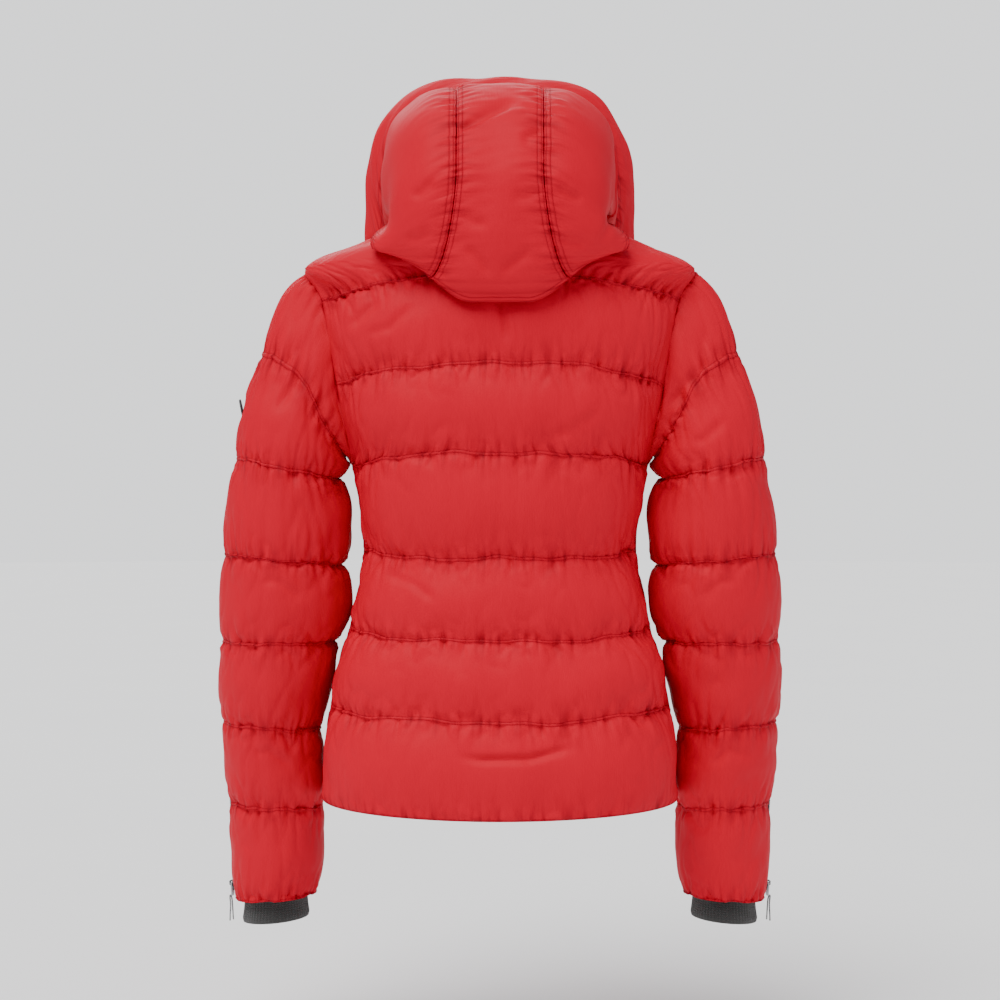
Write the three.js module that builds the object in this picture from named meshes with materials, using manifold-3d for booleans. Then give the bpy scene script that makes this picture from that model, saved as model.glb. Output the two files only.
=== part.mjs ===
// A padded ski jacket with a hood, quilted in level channels, as it hangs on a body.
// Millimetres. +Z is up, +X is the wearer's left, and the wearer faces -Y.
// The origin is the middle of the neck opening, at the height of the neck seam at the back.
import * as THREE from "three";
import { mergeVertices } from "three/addons/utils/BufferGeometryUtils.js";
import Module from "manifold-3d";

const wasm = await Module();
wasm.setup();

// ---- Driving dimensions ----
const backLength = 588; // neck seam to hem, down the centre back
const shoulderWidth = 406;
const shoulderDrop = 26; // neck seam to shoulder point
const underarmWidth = 310;
const waistWidth = 286;
const hemWidth = 372;
const backDepth = 108; // fullness of the back behind the side seam, at the shoulder blades
const sleeveLength = 668; // shoulder point to the hem of the sleeve
const sleeveWidth = 124; // across the elbow
const cuffWidth = 88; // across the sleeve's hem
const neckWidth = 148;
const collarHeight = 62; // at the back
const hoodWidth = 282; // across the brim
const hoodHeight = 184; // neck seam to the top of the brim
const crownHeight = 164; // neck seam to the top of the hood behind the brim
const hoodDepth = 130; // fullness of the hood behind the neck
const hoodReach = 124; // from the neck forward to the brim's edge

const puff = 9; // how far a channel stands out from its quilting lines
const shellThickness = 2;
const waddingInset = 5.6; // the wadding's inner face, below the quilting lines
const liningInset = 12;
const liningThickness = 1.5;
const hoodPadding = 6;
const ribLength = 24; // of the knitted cuff that shows below the sleeve
const gap = 0.6; // between neighbours that are sewn together
const waddingGap = 3; // between the shell and the wadding
const layerInset = 6; // degrees that the wadding and lining stop short of the side seam and armhole

const zipChannel = 8; // half the width between the front edges
const zipTopLean = -97; // how far the front zip stands in front of the origin, at the neck
const zipLean = 0.052; // how much further out it goes for each millimetre down
const coilWidth = 3;
const coilHeight = 2.6;
const tapeThickness = 1;
const pullLength = 30;
const pocketZipLength = 140;
const cuffZipLength = 168;
const cordDiameter = 1.6;
const cordLength = 60;
const badgeWidth = 23;
const badgeThickness = 2.2;
const badgeLift = 4.3; // clear of the sleeve

const degrees = Math.PI / 180;
const V = (x, y, z) => new THREE.Vector3(x, y, z);
const clamp = THREE.MathUtils.clamp;
const smooth = (x) => THREE.MathUtils.smoothstep(x, 0, 1);
const mix = THREE.MathUtils.lerp;

const finish = (color, roughness, metalness = 0) =>
  new THREE.MeshStandardMaterial({ color, roughness, metalness });
const redShell = finish(0xd02c36, 0.45);
const darkLining = finish(0x7c1720, 0.6);
const whiteWadding = finish(0xe8e6e0, 0.95);
const blackKnit = finish(0x2a2a29, 0.9);
const blackTape = finish(0x1b1a1b, 0.8);
const blackMetal = finish(0x232326, 0.35, 0.8);
const steel = finish(0xa9abae, 0.3, 1);
const badgeBlack = finish(0x1f201f, 0.6);
const cordGrey = finish(0x9b9c9c, 0.7);

const jacket = new THREE.Group();

function add(name, geometry, material, parent = jacket) {
  const mesh = new THREE.Mesh(geometry, material);
  mesh.name = name;
  parent.add(mesh);
  return mesh;
}

// ---- Curves through stations: the value of each column at any place between the rows ----
function stations(rows) {
  const curves = [];
  for (let column = 0; column < rows[0].length; column += 3) {
    const points = rows.map((row) => V(row[column], row[column + 1] ?? 0, row[column + 2] ?? 0));
    curves.push(new THREE.CatmullRomCurve3(points, false, "catmullrom", 0.5));
  }
  return (place) => {
    const share = clamp(place / (rows.length - 1), 0, 1);
    return curves.flatMap((curve) => curve.getPoint(share).toArray());
  };
}

// ---- Sheets of cloth: a surface between two offsets from it, as one closed body ----
// surface(s, t) gives a point; its outward side is the side of (along t) x (along s), times facing.
function offsetPoint(surface, s, t, distance, facing) {
  const step = 1e-3;
  const alongS = surface(s + step, t).sub(surface(s - step, t));
  const alongT = surface(s, t + step).sub(surface(s, t - step));
  const normal = alongT.cross(alongS).normalize().multiplyScalar(facing);
  return surface(s, t).addScaledVector(normal, distance);
}

function signedVolume(positions, index) {
  const corner = (i) => V().fromArray(positions, 3 * index[i]);
  let volume = 0;
  for (let i = 0; i < index.length; i += 3) volume += corner(i).dot(corner(i + 1).cross(corner(i + 2))) / 6;
  return volume;
}

// share runs from sides(t)[0] to sides(t)[1]; outer and inner take (share, t) and give offsets from the surface.
function sheet({ surface, sides, shares, rows, outer, inner, ring = false, facing = 1 }) {
  const positions = [];
  const across = shares.length - 1;
  const along = rows.length - 1;
  const columns = ring ? across : across + 1;
  for (const offset of [outer, inner]) {
    for (const t of rows) {
      const [low, high] = sides(t);
      for (const share of shares.slice(0, columns)) {
        const point = offsetPoint(surface, mix(low, high, share), t, offset(share, t), facing);
        positions.push(...point.toArray());
      }
    }
  }
  const layer = columns * (along + 1);
  const at = (k, i, j) => k * layer + j * columns + (i % columns);
  const index = [];
  const quad = (a, b, c, d) => index.push(a, b, c, a, c, d);
  for (let i = 0; i < across; i++) {
    for (let j = 0; j < along; j++) {
      quad(at(0, i, j), at(0, i, j + 1), at(0, i + 1, j + 1), at(0, i + 1, j));
      quad(at(1, i, j), at(1, i + 1, j), at(1, i + 1, j + 1), at(1, i, j + 1));
    }
    quad(at(0, i, 0), at(0, i + 1, 0), at(1, i + 1, 0), at(1, i, 0));
    quad(at(0, i, along), at(1, i, along), at(1, i + 1, along), at(0, i + 1, along));
  }
  for (let j = 0; j < along && !ring; j++) {
    quad(at(0, 0, j), at(1, 0, j), at(1, 0, j + 1), at(0, 0, j + 1));
    quad(at(0, across, j), at(0, across, j + 1), at(1, across, j + 1), at(1, across, j));
  }
  if (signedVolume(positions, index) < 0) index.reverse();
  const geometry = new THREE.BufferGeometry();
  geometry.setAttribute("position", new THREE.Float32BufferAttribute(positions, 3));
  return geometry.setIndex(index);
}

const range = (from, to, count) => Array.from({ length: count + 1 }, (_, i) => mix(from, to, i / count));

// ---- Cutting and joining ----
function solid(geometry) {
  const bare = new THREE.BufferGeometry().setAttribute("position", geometry.getAttribute("position").clone());
  const merged = mergeVertices(bare.setIndex(geometry.index), 1e-3);
  const triVerts = new Uint32Array(merged.index.array);
  return new wasm.Manifold(
    new wasm.Mesh({ numProp: 3, vertProperties: merged.attributes.position.array, triVerts }),
  );
}

function geometryOf(shape) {
  const { vertProperties, triVerts } = shape.getMesh();
  const geometry = new THREE.BufferGeometry();
  geometry.setAttribute("position", new THREE.BufferAttribute(new Float32Array(vertProperties), 3));
  return geometry.setIndex(new THREE.BufferAttribute(new Uint32Array(triVerts), 1));
}

const cut = (geometry, cutter) => geometryOf(solid(geometry).subtract(solid(cutter)));
const join = (...geometries) => geometryOf(geometries.map(solid).reduce((a, b) => a.add(b)));
const box = (x0, x1, y0, y1, z0, z1) =>
  new THREE.BoxGeometry(x1 - x0, y1 - y0, z1 - z0).translate((x0 + x1) / 2, (y0 + y1) / 2, (z0 + z1) / 2);

// ---- The body of the jacket ----
// s is the angle round the body from the centre back, towards the wearer's left.
// t counts the quilting lines up from the hem: 0 hem, 4 underarm, 6 yoke seam, 7 shoulder point, 9 neck seam.
const underarm = 4;
const yokeSeam = 6;
const shoulder = 7;
const neck = 9;
const bodyRows = stations([
  // half width, depth of the back, height at the side, how far the centre back dips, the front dips
  [hemWidth / 2, backDepth * 1.08, 8 - backLength, 8, 2, 0],
  [mix(waistWidth, hemWidth, 0.8) / 2, backDepth * 1.04, -0.818 * backLength, 9, 4, 0],
  [mix(waistWidth, hemWidth, 0.34) / 2, backDepth * 0.96, -0.682 * backLength, 8, 3, 0],
  [waistWidth / 2, backDepth * 0.89, -0.545 * backLength, 6, 2, 0],
  [underarmWidth / 2, backDepth * 0.98, -0.395 * backLength, -14, 0, 0],
  [mix(underarmWidth, shoulderWidth, 0.5) / 2, backDepth * 0.95, -0.258 * backLength, -25, 14, 0],
  [mix(underarmWidth, shoulderWidth, 0.84) / 2, backDepth * 0.8, -0.112 * backLength, -30, 40, 0],
  [shoulderWidth / 2, backDepth * 0.7, -shoulderDrop, -6, 58, 0],
  [mix(neckWidth, shoulderWidth, 0.52) / 2, backDepth * 0.62, 2, 10, 70, 0],
  [neckWidth / 2, backDepth * 0.56, 22, 22, 80, 0],
]);
const zipPlane = (z) => zipTopLean + zipLean * z; // y of the zip at height z
const boxiness = 0.05; // how much fuller than an ellipse a section is, between its front, sides and back

function body(angle, t) {
  const [halfWidth, depth, sideHeight, backDip, frontDip] = bodyRows(t);
  const back = Math.max(0, Math.cos(angle));
  const front = Math.max(0, -Math.cos(angle));
  const z = sideHeight - backDip * back * back - frontDip * smooth(front);
  const fuller = 1 + boxiness * Math.sin(2 * angle) ** 2;
  const reach = front > 0 ? zipPlane(z) * front : depth * back;
  return V(halfWidth * Math.sin(angle) * fuller, reach * fuller, z);
}

const armholeTurn = 24 * degrees; // how far round the body the armhole reaches, each way from the side seam
const armholeShare = (t) => clamp((t - underarm) / (shoulder - underarm), 0, 1);
const armholeHalf = (t) => armholeTurn * 2 * Math.sqrt(armholeShare(t) * (1 - armholeShare(t)));
// The cut edge at the side: the armhole, or half a seam's gap below and above it.
const sideEdge = (t) => Math.max(armholeHalf(t), Math.asin(gap / 2 / bodyRows(t)[1]));
const zipEdge = (t) => Math.PI - Math.asin(zipChannel / bodyRows(t)[0]);
const backSides = (inset) => (t) => {
  const side = Math.PI / 2 - sideEdge(t) - inset;
  return [-side, side];
};
const frontSides = (hand, inset) => (t) => {
  const side = Math.PI / 2 + sideEdge(t) + inset;
  return hand > 0 ? [side, zipEdge(t)] : [-zipEdge(t), -side];
};

const flat = (offset) => () => -offset; // a constant depth below the surface
const edgeFade = (share) => smooth(Math.min(share, 1 - share) / 0.16);
const channel = (t) => (t < yokeSeam ? Math.sin(Math.PI * (t % 1)) : Math.sin((Math.PI * (t - yokeSeam)) / 3));
const bulge = (share, t) => puff * Math.max(0, channel(t)) * edgeFade(share);
const shellLayer = { outer: bulge, inner: (share, t) => bulge(share, t) - shellThickness };
const filling = 0.75; // of a channel's fullness taken up by the wadding
const waddingLayer = {
  outer: (share, t) => filling * bulge(share, t) - shellThickness - waddingGap,
  inner: flat(waddingInset),
};
const liningLayer = { outer: flat(liningInset), inner: flat(liningInset + liningThickness) };
const seam = 0.012; // half the gap at a level seam, in quilting lines

const slotAcross = 9; // half the width of a pocket's slot
const slotDepth = 30;
const pocketTop = 0.42; // quilting lines above the waist line's row
function pocketFrame(hand) {
  const high = body(hand * 138 * degrees, 3 - pocketTop);
  const low = body(hand * 127 * degrees, 1.1);
  const middle = high.clone().add(low).multiplyScalar(0.5);
  return frameAt(middle, high.clone().sub(low), V(middle.x, 1.4 * middle.y, 0));
}

// A group whose +Z runs along the zip and whose -Y is the outward side.
function frameAt(origin, along, outward) {
  const z = along.clone().normalize();
  const x = z.clone().cross(outward).normalize();
  const y = z.clone().cross(x);
  const group = new THREE.Group();
  group.matrixAutoUpdate = false;
  group.matrix.makeBasis(x, y, z).setPosition(origin);
  return group;
}

// Rows of the grids: thirds of a channel for the shell, halves behind it.
const shellRows = [...range(0, yokeSeam - 1 / 3, 3 * yokeSeam - 1), yokeSeam - seam];
const yokeRows = [yokeSeam + seam, ...range(yokeSeam + 0.5, neck, 5)];
const layerRows = [0.25, ...range(0.5, neck, 2 * neck - 1)];
const frontColumns = 6;

function buildBody() {
  const edge = layerInset * degrees;
  const back = { surface: body, sides: backSides(0), shares: range(0, 1, 12) };
  const backLayers = { surface: body, sides: backSides(edge), shares: range(0, 1, 8) };
  add("back_panel", sheet({ ...back, rows: shellRows, ...shellLayer }), redShell);
  add("back_yoke", sheet({ ...back, rows: yokeRows, ...shellLayer }), redShell);
  add("back_wadding", sheet({ ...backLayers, rows: layerRows, ...waddingLayer }), whiteWadding);
  add("back_lining", sheet({ ...backLayers, rows: layerRows, ...liningLayer }), darkLining);
  for (const [side, hand] of [["left", 1], ["right", -1]]) {
    const front = { surface: body, sides: frontSides(hand, 0), shares: range(0, 1, frontColumns) };
    const frontLayers = { ...front, sides: frontSides(hand, edge) };
    const slotHalf = pocketZipLength / 2 + 4;
    const slot = box(-slotAcross, slotAcross, -slotDepth, slotDepth, -slotHalf, slotHalf);
    slot.applyMatrix4(pocketFrame(hand).matrix);
    const wadding = sheet({ ...frontLayers, rows: layerRows, ...waddingLayer });
    add(`front_panel_${side}`, cut(sheet({ ...front, rows: shellRows, ...shellLayer }), slot), redShell);
    add(`front_yoke_${side}`, sheet({ ...front, rows: yokeRows, ...shellLayer }), redShell);
    add(`front_wadding_${side}`, cut(wadding, slot), whiteWadding);
    add(`front_lining_${side}`, sheet({ ...frontLayers, rows: layerRows, ...liningLayer }), darkLining);
  }
}

// ---- The collar: t runs from its seam at 0 to its top at 1 ----
function collar(angle, t) {
  const base = body(angle, neck);
  const front = Math.max(0, -Math.cos(angle));
  const z = mix(base.z + 2 * gap, collarHeight - 24 * smooth(front), t);
  const y = front > 0 ? (base.y / zipPlane(base.z)) * zipPlane(z) : base.y * mix(1, 1.06, t);
  return V(base.x * mix(1, 0.96, t), y, z);
}

const collarPadding = 4;
function buildCollar() {
  const whole = { surface: collar, sides: () => [-zipEdge(neck), zipEdge(neck)], shares: range(0, 1, 20) };
  add("collar_outer", sheet({ ...whole, rows: range(0, 1, 2), outer: flat(0), inner: flat(collarPadding) }), redShell);
  const inside = collarPadding + gap + liningThickness;
  const lining = { rows: range(0, 1, 2), outer: flat(collarPadding + gap), inner: flat(inside) };
  add("collar_lining", sheet({ ...whole, ...lining }), darkLining);
  // The hanger loop is a tape sewn down at both ends, at the centre back of the collar.
  const loop = { shares: [9, 10, 11].map((i) => i / 20), rows: [0.5, 0.6] };
  const tape = { outer: flat(inside + gap), inner: flat(inside + gap + 1.2) };
  add("hanger_loop", sheet({ ...whole, ...loop, ...tape }), blackTape);
}

// ---- Zips: the group's +Z runs along the chain, up, and -Y is the outward side ----
const sliderLength = 13;
const sliderPlate = 1.3;
const sliderClear = 0.35; // between slider and chain
const bailHalf = 3.2;
const bailHole = 1.8;
const bailAxis = 2.4; // the pull's axis, in front of the slider's plate
const bailWidth = 2.2;
const pullThickness = 1.5;
const pullWidth = 7;

// The chain's front face is at y = -coilHeight, and its tape lies behind y = 0.
const sliderFace = -coilHeight - sliderClear - sliderPlate;
const pullAxisY = sliderFace - bailAxis;

function sliderSolid() {
  const inside = coilWidth + sliderClear;
  const half = inside + 1.2;
  const end = sliderLength / 2;
  const plate = new THREE.Shape();
  plate.moveTo(-half, -end).lineTo(half, -end).lineTo(half + 1, end - 2).lineTo(half - 1, end);
  plate.lineTo(1 - half, end).lineTo(-half - 1, end - 2);
  const face = new THREE.ExtrudeGeometry(plate, { depth: sliderPlate, bevelEnabled: false });
  face.rotateX(Math.PI / 2).translate(0, sliderFace + sliderPlate, 0);
  const lips = [[inside, half], [-half, -inside]].map(([low, high]) =>
    box(low, high, sliderFace + sliderPlate / 2, -sliderClear, -end, end - 2),
  );
  // The bail is drawn as (along the chain, away from the plate) and stood up on the plate.
  const arch = new THREE.Shape();
  arch.moveTo(-bailHalf, -0.3).lineTo(bailHalf, -0.3).lineTo(bailHalf, bailAxis + 1);
  arch.lineTo(bailHalf - 1.2, bailAxis + 2.8).lineTo(1.2 - bailHalf, bailAxis + 2.8).lineTo(-bailHalf, bailAxis + 1);
  const hole = new THREE.Path();
  hole.moveTo(-bailHole, bailAxis - 1.7).lineTo(-bailHole, bailAxis + 1.7);
  hole.lineTo(bailHole, bailAxis + 1.7).lineTo(bailHole, bailAxis - 1.7);
  arch.holes.push(hole);
  const bail = new THREE.ExtrudeGeometry(arch, { depth: bailWidth, bevelEnabled: false });
  bail.translate(0, 0, -bailWidth / 2);
  bail.applyMatrix4(new THREE.Matrix4().makeBasis(V(0, 0, 1), V(0, -1, 0), V(1, 0, 0)));
  bail.translate(0, sliderFace, 0);
  return join(face, ...lips, bail);
}

function pullGeometry(length) {
  const half = pullWidth / 2;
  const tab = new THREE.Shape();
  tab.moveTo(-half, 0.8).lineTo(-half + 0.6, -length + 2).lineTo(-half + 2, -length);
  tab.lineTo(half - 2, -length).lineTo(half - 0.6, -length + 2).lineTo(half, 0.8);
  const window = new THREE.Path();
  const inside = bailWidth / 2 + 0.6;
  window.moveTo(-inside, -0.8).lineTo(inside, -0.8).lineTo(inside, -bailHalf - 2).lineTo(-inside, -bailHalf - 2);
  tab.holes.push(window);
  if (length > 20) tab.holes.push(new THREE.Path().absellipse(0, 6 - length, 1.8, 3, 0, 2 * Math.PI, true));
  const plate = new THREE.ExtrudeGeometry(tab, { depth: pullThickness, bevelEnabled: false, curveSegments: 4 });
  return plate.rotateX(Math.PI / 2).translate(0, pullAxisY + pullThickness / 2, 0);
}

// A closed chain on its tape, with the slider and its pull at sliderAt along it.
function buildClosedZip(name, frame, length, tapeHalf, sliderAt, pull) {
  jacket.add(frame);
  const half = length / 2;
  add(`${name}_tape`, box(-tapeHalf, tapeHalf, gap, gap + tapeThickness, -half, half), blackTape, frame);
  add(`${name}_coil`, box(-coilWidth, coilWidth, -coilHeight, 0, -half + 3, half - 3), blackTape, frame);
  const slider = add(`${name}_slider`, sliderSolid(), blackMetal, frame);
  slider.position.z = sliderAt;
  const tab = add(`${name}_pull`, pullGeometry(pull), steel, frame);
  tab.position.z = sliderAt;
  return frame;
}

function buildFrontZip() {
  const bottom = body(Math.PI, 0).z + 6;
  const top = collar(Math.PI, 1).z;
  const length = (top - bottom) / Math.cos(Math.atan(zipLean));
  const middle = (top + bottom) / 2;
  const along = V(0, zipLean, 1);
  const frame = frameAt(V(0, zipPlane(middle), middle), along, V(0, -1, 0));
  jacket.add(frame);
  const half = length / 2;
  const between = 0.15;
  for (const [side, hand] of [["left", 1], ["right", -1]]) {
    const outside = zipChannel - gap;
    const tape = hand > 0 ? [between, outside] : [-outside, -between];
    const coil = hand > 0 ? [between, coilWidth] : [-coilWidth, -between];
    add(`front_zip_tape_${side}`, box(...tape, gap, gap + tapeThickness, -half, half), blackTape, frame);
    add(`front_zip_coil_${side}`, box(...coil, -coilHeight, 0, 10 - half, half - 4), blackTape, frame);
  }
  const stop = box(-coilWidth - 0.6, coilWidth + 0.6, -coilHeight - 0.6, 0.2, -half, 9 - half);
  add("front_zip_box", stop, blackMetal, frame);
  const rest = half - 6 - sliderLength / 2;
  const slider = add("front_zip_slider", sliderSolid(), blackMetal, frame);
  slider.position.z = rest;
  const pull = add("front_zip_pull", pullGeometry(pullLength), steel, frame);
  pull.position.z = rest;
  const flapTop = (body(Math.PI, shoulder).z - middle) / Math.cos(Math.atan(zipLean)) - 20;
  const flap = box(-18, 18, waddingInset + 1.6, liningInset - gap, 4 - half, flapTop);
  add("front_storm_flap", flap, redShell, frame);
}

// The pocket bag hangs flat between the wadding and the lining.
function buildPockets() {
  for (const [side, hand] of [["left", 1], ["right", -1]]) {
    buildClosedZip(`pocket_zip_${side}`, pocketFrame(hand), pocketZipLength, 8, pocketZipLength / 2 - 14, 24);
    const depths = [0.2, 0.35, 0.5, 0.65].map((share) => (hand > 0 ? share : 1 - share)).sort();
    const bag = {
      surface: body,
      sides: frontSides(hand, layerInset * degrees),
      shares: depths,
      rows: layerRows.filter((t) => t >= 0.5 && t <= 2.5),
      outer: flat(waddingInset + 2 * gap),
      inner: flat(waddingInset + 2 * gap + 1.2),
    };
    add(`pocket_bag_${side}`, sheet(bag), darkLining);
  }
}

// ---- Sleeves ----
// t counts the quilting lines down the sleeve: 0 armhole, 1 and 2 on the sleeve head, 7 the sleeve's hem.
const underarmHeight = bodyRows(underarm)[2];
const headRise = 73; // the first line on the sleeve head above the underarm
const headFall = 2; // the second line below the underarm
const sleeveDown = (share) => mix(underarmHeight - headFall, -shoulderDrop - sleeveLength, share);
const sleeveIn = underarmWidth / 2 + 6; // the sleeve's inner side, clear of the body
const sleeveRows = stations([
  // centre x, centre y, centre z, half width, half depth, tilt in degrees
  [sleeveIn + 56, 0, underarmHeight + headRise, 0.8 * sleeveWidth * 0.5, 54, 24],
  [sleeveIn + 62, 0, sleeveDown(0), 0.88 * sleeveWidth * 0.5, 57, 12],
  [sleeveIn + 67, -6, sleeveDown(0.208), 0.5 * sleeveWidth, 59, 5],
  [sleeveIn + 73, -18, sleeveDown(0.397), 0.48 * sleeveWidth, 58, 0],
  [sleeveIn + 81, -34, sleeveDown(0.593), 0.42 * sleeveWidth, 54, 4],
  [sleeveIn + 78, -50, sleeveDown(0.782), mix(cuffWidth, sleeveWidth, 0.3) / 2, 50, 2],
  [sleeveIn + 80, -62, sleeveDown(1), cuffWidth / 2, 46, -4],
]);

function sleeveRing(angle, t) {
  const [x, y, z, halfWidth, halfDepth, tilt] = sleeveRows(t - 1);
  const out = halfWidth * Math.sin(angle);
  return V(x + out * Math.cos(tilt * degrees), y + halfDepth * Math.cos(angle), z + out * Math.sin(tilt * degrees));
}

// The armhole's edge on the body, moved out and down to clear it.
const armholeOut = 3.4;
const armholeDown = 0.8;
function armholeEdge(angle) {
  const turn = Math.PI / 2 - armholeTurn * Math.cos(angle);
  const t = mix(underarm, shoulder, (1 + Math.sin(angle)) / 2);
  return body(turn, t).add(V(armholeOut, 0, -armholeDown));
}

const headOut = 36; // how the sleeve head leaves the armhole: outwards
const headDown = 22; // and downwards

function sleeve(angle, t) {
  if (t >= 2) return sleeveRing(angle, t);
  const low = sleeveRing(angle, 2);
  const start = armholeEdge(angle);
  const share = t / 2;
  const leave = V(headOut, 0, -headDown).multiplyScalar(Math.max(0, Math.sin(angle)));
  const arrive = sleeveRing(angle, 2.5).sub(low).negate();
  const curve = new THREE.CubicBezierCurve3(start, start.clone().add(leave), low.clone().add(arrive), low);
  return curve.getPoint(share);
}

const sleevePuff = 4;
const sleeveBulge = (share, t) => sleevePuff * Math.abs(Math.sin(Math.PI * t));
const cuffCut = 7; // the zip at the cuff opens the sleeve by this much, each way
const round = () => [0, 2 * Math.PI];

function mirrored(geometry) {
  const other = geometry.clone().scale(-1, 1, 1);
  if (!other.index) return other;
  const index = Array.from(other.index.array).reverse();
  return other.setIndex(index);
}

// Where the cuff's zip lies: up from the sleeve's hem, a little in front of the outer side.
const cuffZipTurn = 104 * degrees;
function cuffFrame() {
  const low = sleeve(cuffZipTurn, 7);
  const high = sleeve(cuffZipTurn, 7 - (2.2 * cuffZipLength) / sleeveLength / 0.3);
  const along = high.clone().sub(low).normalize();
  const middle = low.clone().addScaledVector(along, cuffZipLength / 2 + 4);
  const facing = V(Math.sin(cuffZipTurn), Math.cos(cuffZipTurn), 0);
  return frameAt(middle.addScaledVector(facing, -1), along, facing);
}

const headRows = [0, 0.5, 1, 1.5, 2, 2.25, 2.5, 2.75, 3 - seam];
const sleeveShellRows = [3 + seam, ...range(3 + 1 / 3, 7, 11)];
const sleeveWaddingRows = [3 + seam, ...range(3.5, 7, 7)];
const sleeveLiningRows = [3 + seam, 4, 5, 6, 6.6];

function buildSleeves() {
  const tube = { surface: sleeve, sides: round, shares: range(0, 1, 12), ring: true, facing: -1 };
  const headBulge = (share, t) => (t < 2 ? 0 : sleeveBulge(share, t));
  const head = sheet({ ...tube, rows: headRows, outer: headBulge, inner: flat(liningInset) });
  const slot = box(-cuffCut, cuffCut, -12, 20, -cuffZipLength, cuffZipLength / 2);
  slot.applyMatrix4(cuffFrame().matrix);
  const quilted = (depth, share) => (s, t) => share * sleeveBulge(s, t) - depth;
  const shell = { rows: sleeveShellRows, outer: quilted(0, 1), inner: quilted(shellThickness, 1) };
  const waddingOuter = quilted(shellThickness + waddingGap, filling);
  const wadding = { rows: sleeveWaddingRows, outer: waddingOuter, inner: flat(waddingInset + gap) };
  const liningDepths = { outer: flat(liningInset), inner: flat(liningInset + liningThickness) };
  const lining = { rows: sleeveLiningRows, ...liningDepths };
  const rib = { surface: ribCuff, rows: range(0, 1, 2), outer: flat(0), inner: flat(2.4) };
  for (const [side, hand] of [["left", 1], ["right", -1]]) {
    const place = (geometry) => (hand > 0 ? geometry : mirrored(geometry));
    add(`sleeve_head_${side}`, place(head), redShell);
    add(`sleeve_shell_${side}`, place(cut(sheet({ ...tube, ...shell }), slot)), redShell);
    add(`sleeve_wadding_${side}`, place(cut(sheet({ ...tube, ...wadding }), slot)), whiteWadding);
    add(`sleeve_lining_${side}`, place(sheet({ ...tube, ...lining })), darkLining);
    add(`rib_cuff_${side}`, place(sheet({ ...tube, ...rib })), blackKnit);
  }
}

const ribClear = 1.8; // between the sleeve's wadding and the knitted cuff
const ribTuck = 26; // how far up inside the sleeve the knitted cuff starts
const ribWaist = 0.06; // how much narrower it is halfway down
// The knitted cuff starts inside the sleeve, below its lining, and shows below the hem.
function ribCuff(angle, t) {
  const hem = sleeveRing(angle, 7);
  const [x, y, z] = sleeveRows(6);
  const [xAbove, yAbove, zAbove] = sleeveRows(5);
  const narrow = (waddingInset + gap + ribClear) / (cuffWidth / 2);
  const share = 1 - narrow - ribWaist * Math.sin(Math.PI * t);
  const rise = mix(ribTuck, -ribLength, t);
  const lean = Math.max(0, rise) / (zAbove - z); // inside the sleeve it follows the sleeve's line
  const across = mix(x, hem.x, share) + lean * (xAbove - x);
  const along = mix(y, hem.y, share) + lean * (yAbove - y);
  return V(across, along, hem.z + rise);
}

function buildCuffZips() {
  const frame = cuffFrame();
  const low = new THREE.Matrix4().makeScale(-1, 1, 1);
  for (const [side, hand] of [["left", 1], ["right", -1]]) {
    const group = new THREE.Group();
    group.matrixAutoUpdate = false;
    group.matrix.copy(hand > 0 ? frame.matrix : low.clone().multiply(frame.matrix));
    const sliderAt = 10 - cuffZipLength / 2;
    buildClosedZip(`cuff_zip_${side}`, group, cuffZipLength, 6, sliderAt, 14);
    const eye = V(0, pullAxisY, sliderAt - 11.5);
    add(`cuff_pull_cord_${side}`, cordGeometry(eye), cordGrey, group);
  }
}

// One cord through the pull's lower end, with its two tails hanging side by side.
function cordGeometry(eye) {
  const tail = (cordLength - 9) / 2;
  const points = [
    [-4.5, -2, -tail - 2],
    [-3.6, -1.6, -0.62 * tail],
    [-2.6, -1.2, -0.3 * tail],
    [-2.4, -1.4, -3],
    [-1.2, -1.9, 0.2],
    [0.4, -2.1, 0.9],
    [1.7, -1.9, -0.4],
    [2.5, -1.4, -4],
    [3.2, -1.2, -0.38 * tail],
    [4.6, -1.6, -0.7 * tail],
    [5.4, -2, -tail],
  ];
  const path = new THREE.CatmullRomCurve3(points.map(([x, y, z]) => V(x, y - 1, z - 3.6).add(eye)));
  const section = new THREE.Shape().absarc(0, 0, cordDiameter / 2, 0, 2 * Math.PI);
  return new THREE.ExtrudeGeometry(section, { steps: 20, extrudePath: path, curveSegments: 4 });
}

// A plain round patch on the outer side of the left upper arm.
function buildBadge() {
  const at = [86 * degrees, 1.5];
  const place = offsetPoint(sleeve, ...at, badgeLift, -1);
  const frame = frameAt(place, V(0.2, 0, 1), place.clone().sub(sleeve(...at)));
  jacket.add(frame);
  const disc = new THREE.CylinderGeometry(badgeWidth / 2, badgeWidth / 2, badgeThickness, 16);
  add("arm_badge", disc.translate(0, -badgeThickness / 2, 0), badgeBlack, frame);
}

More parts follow.
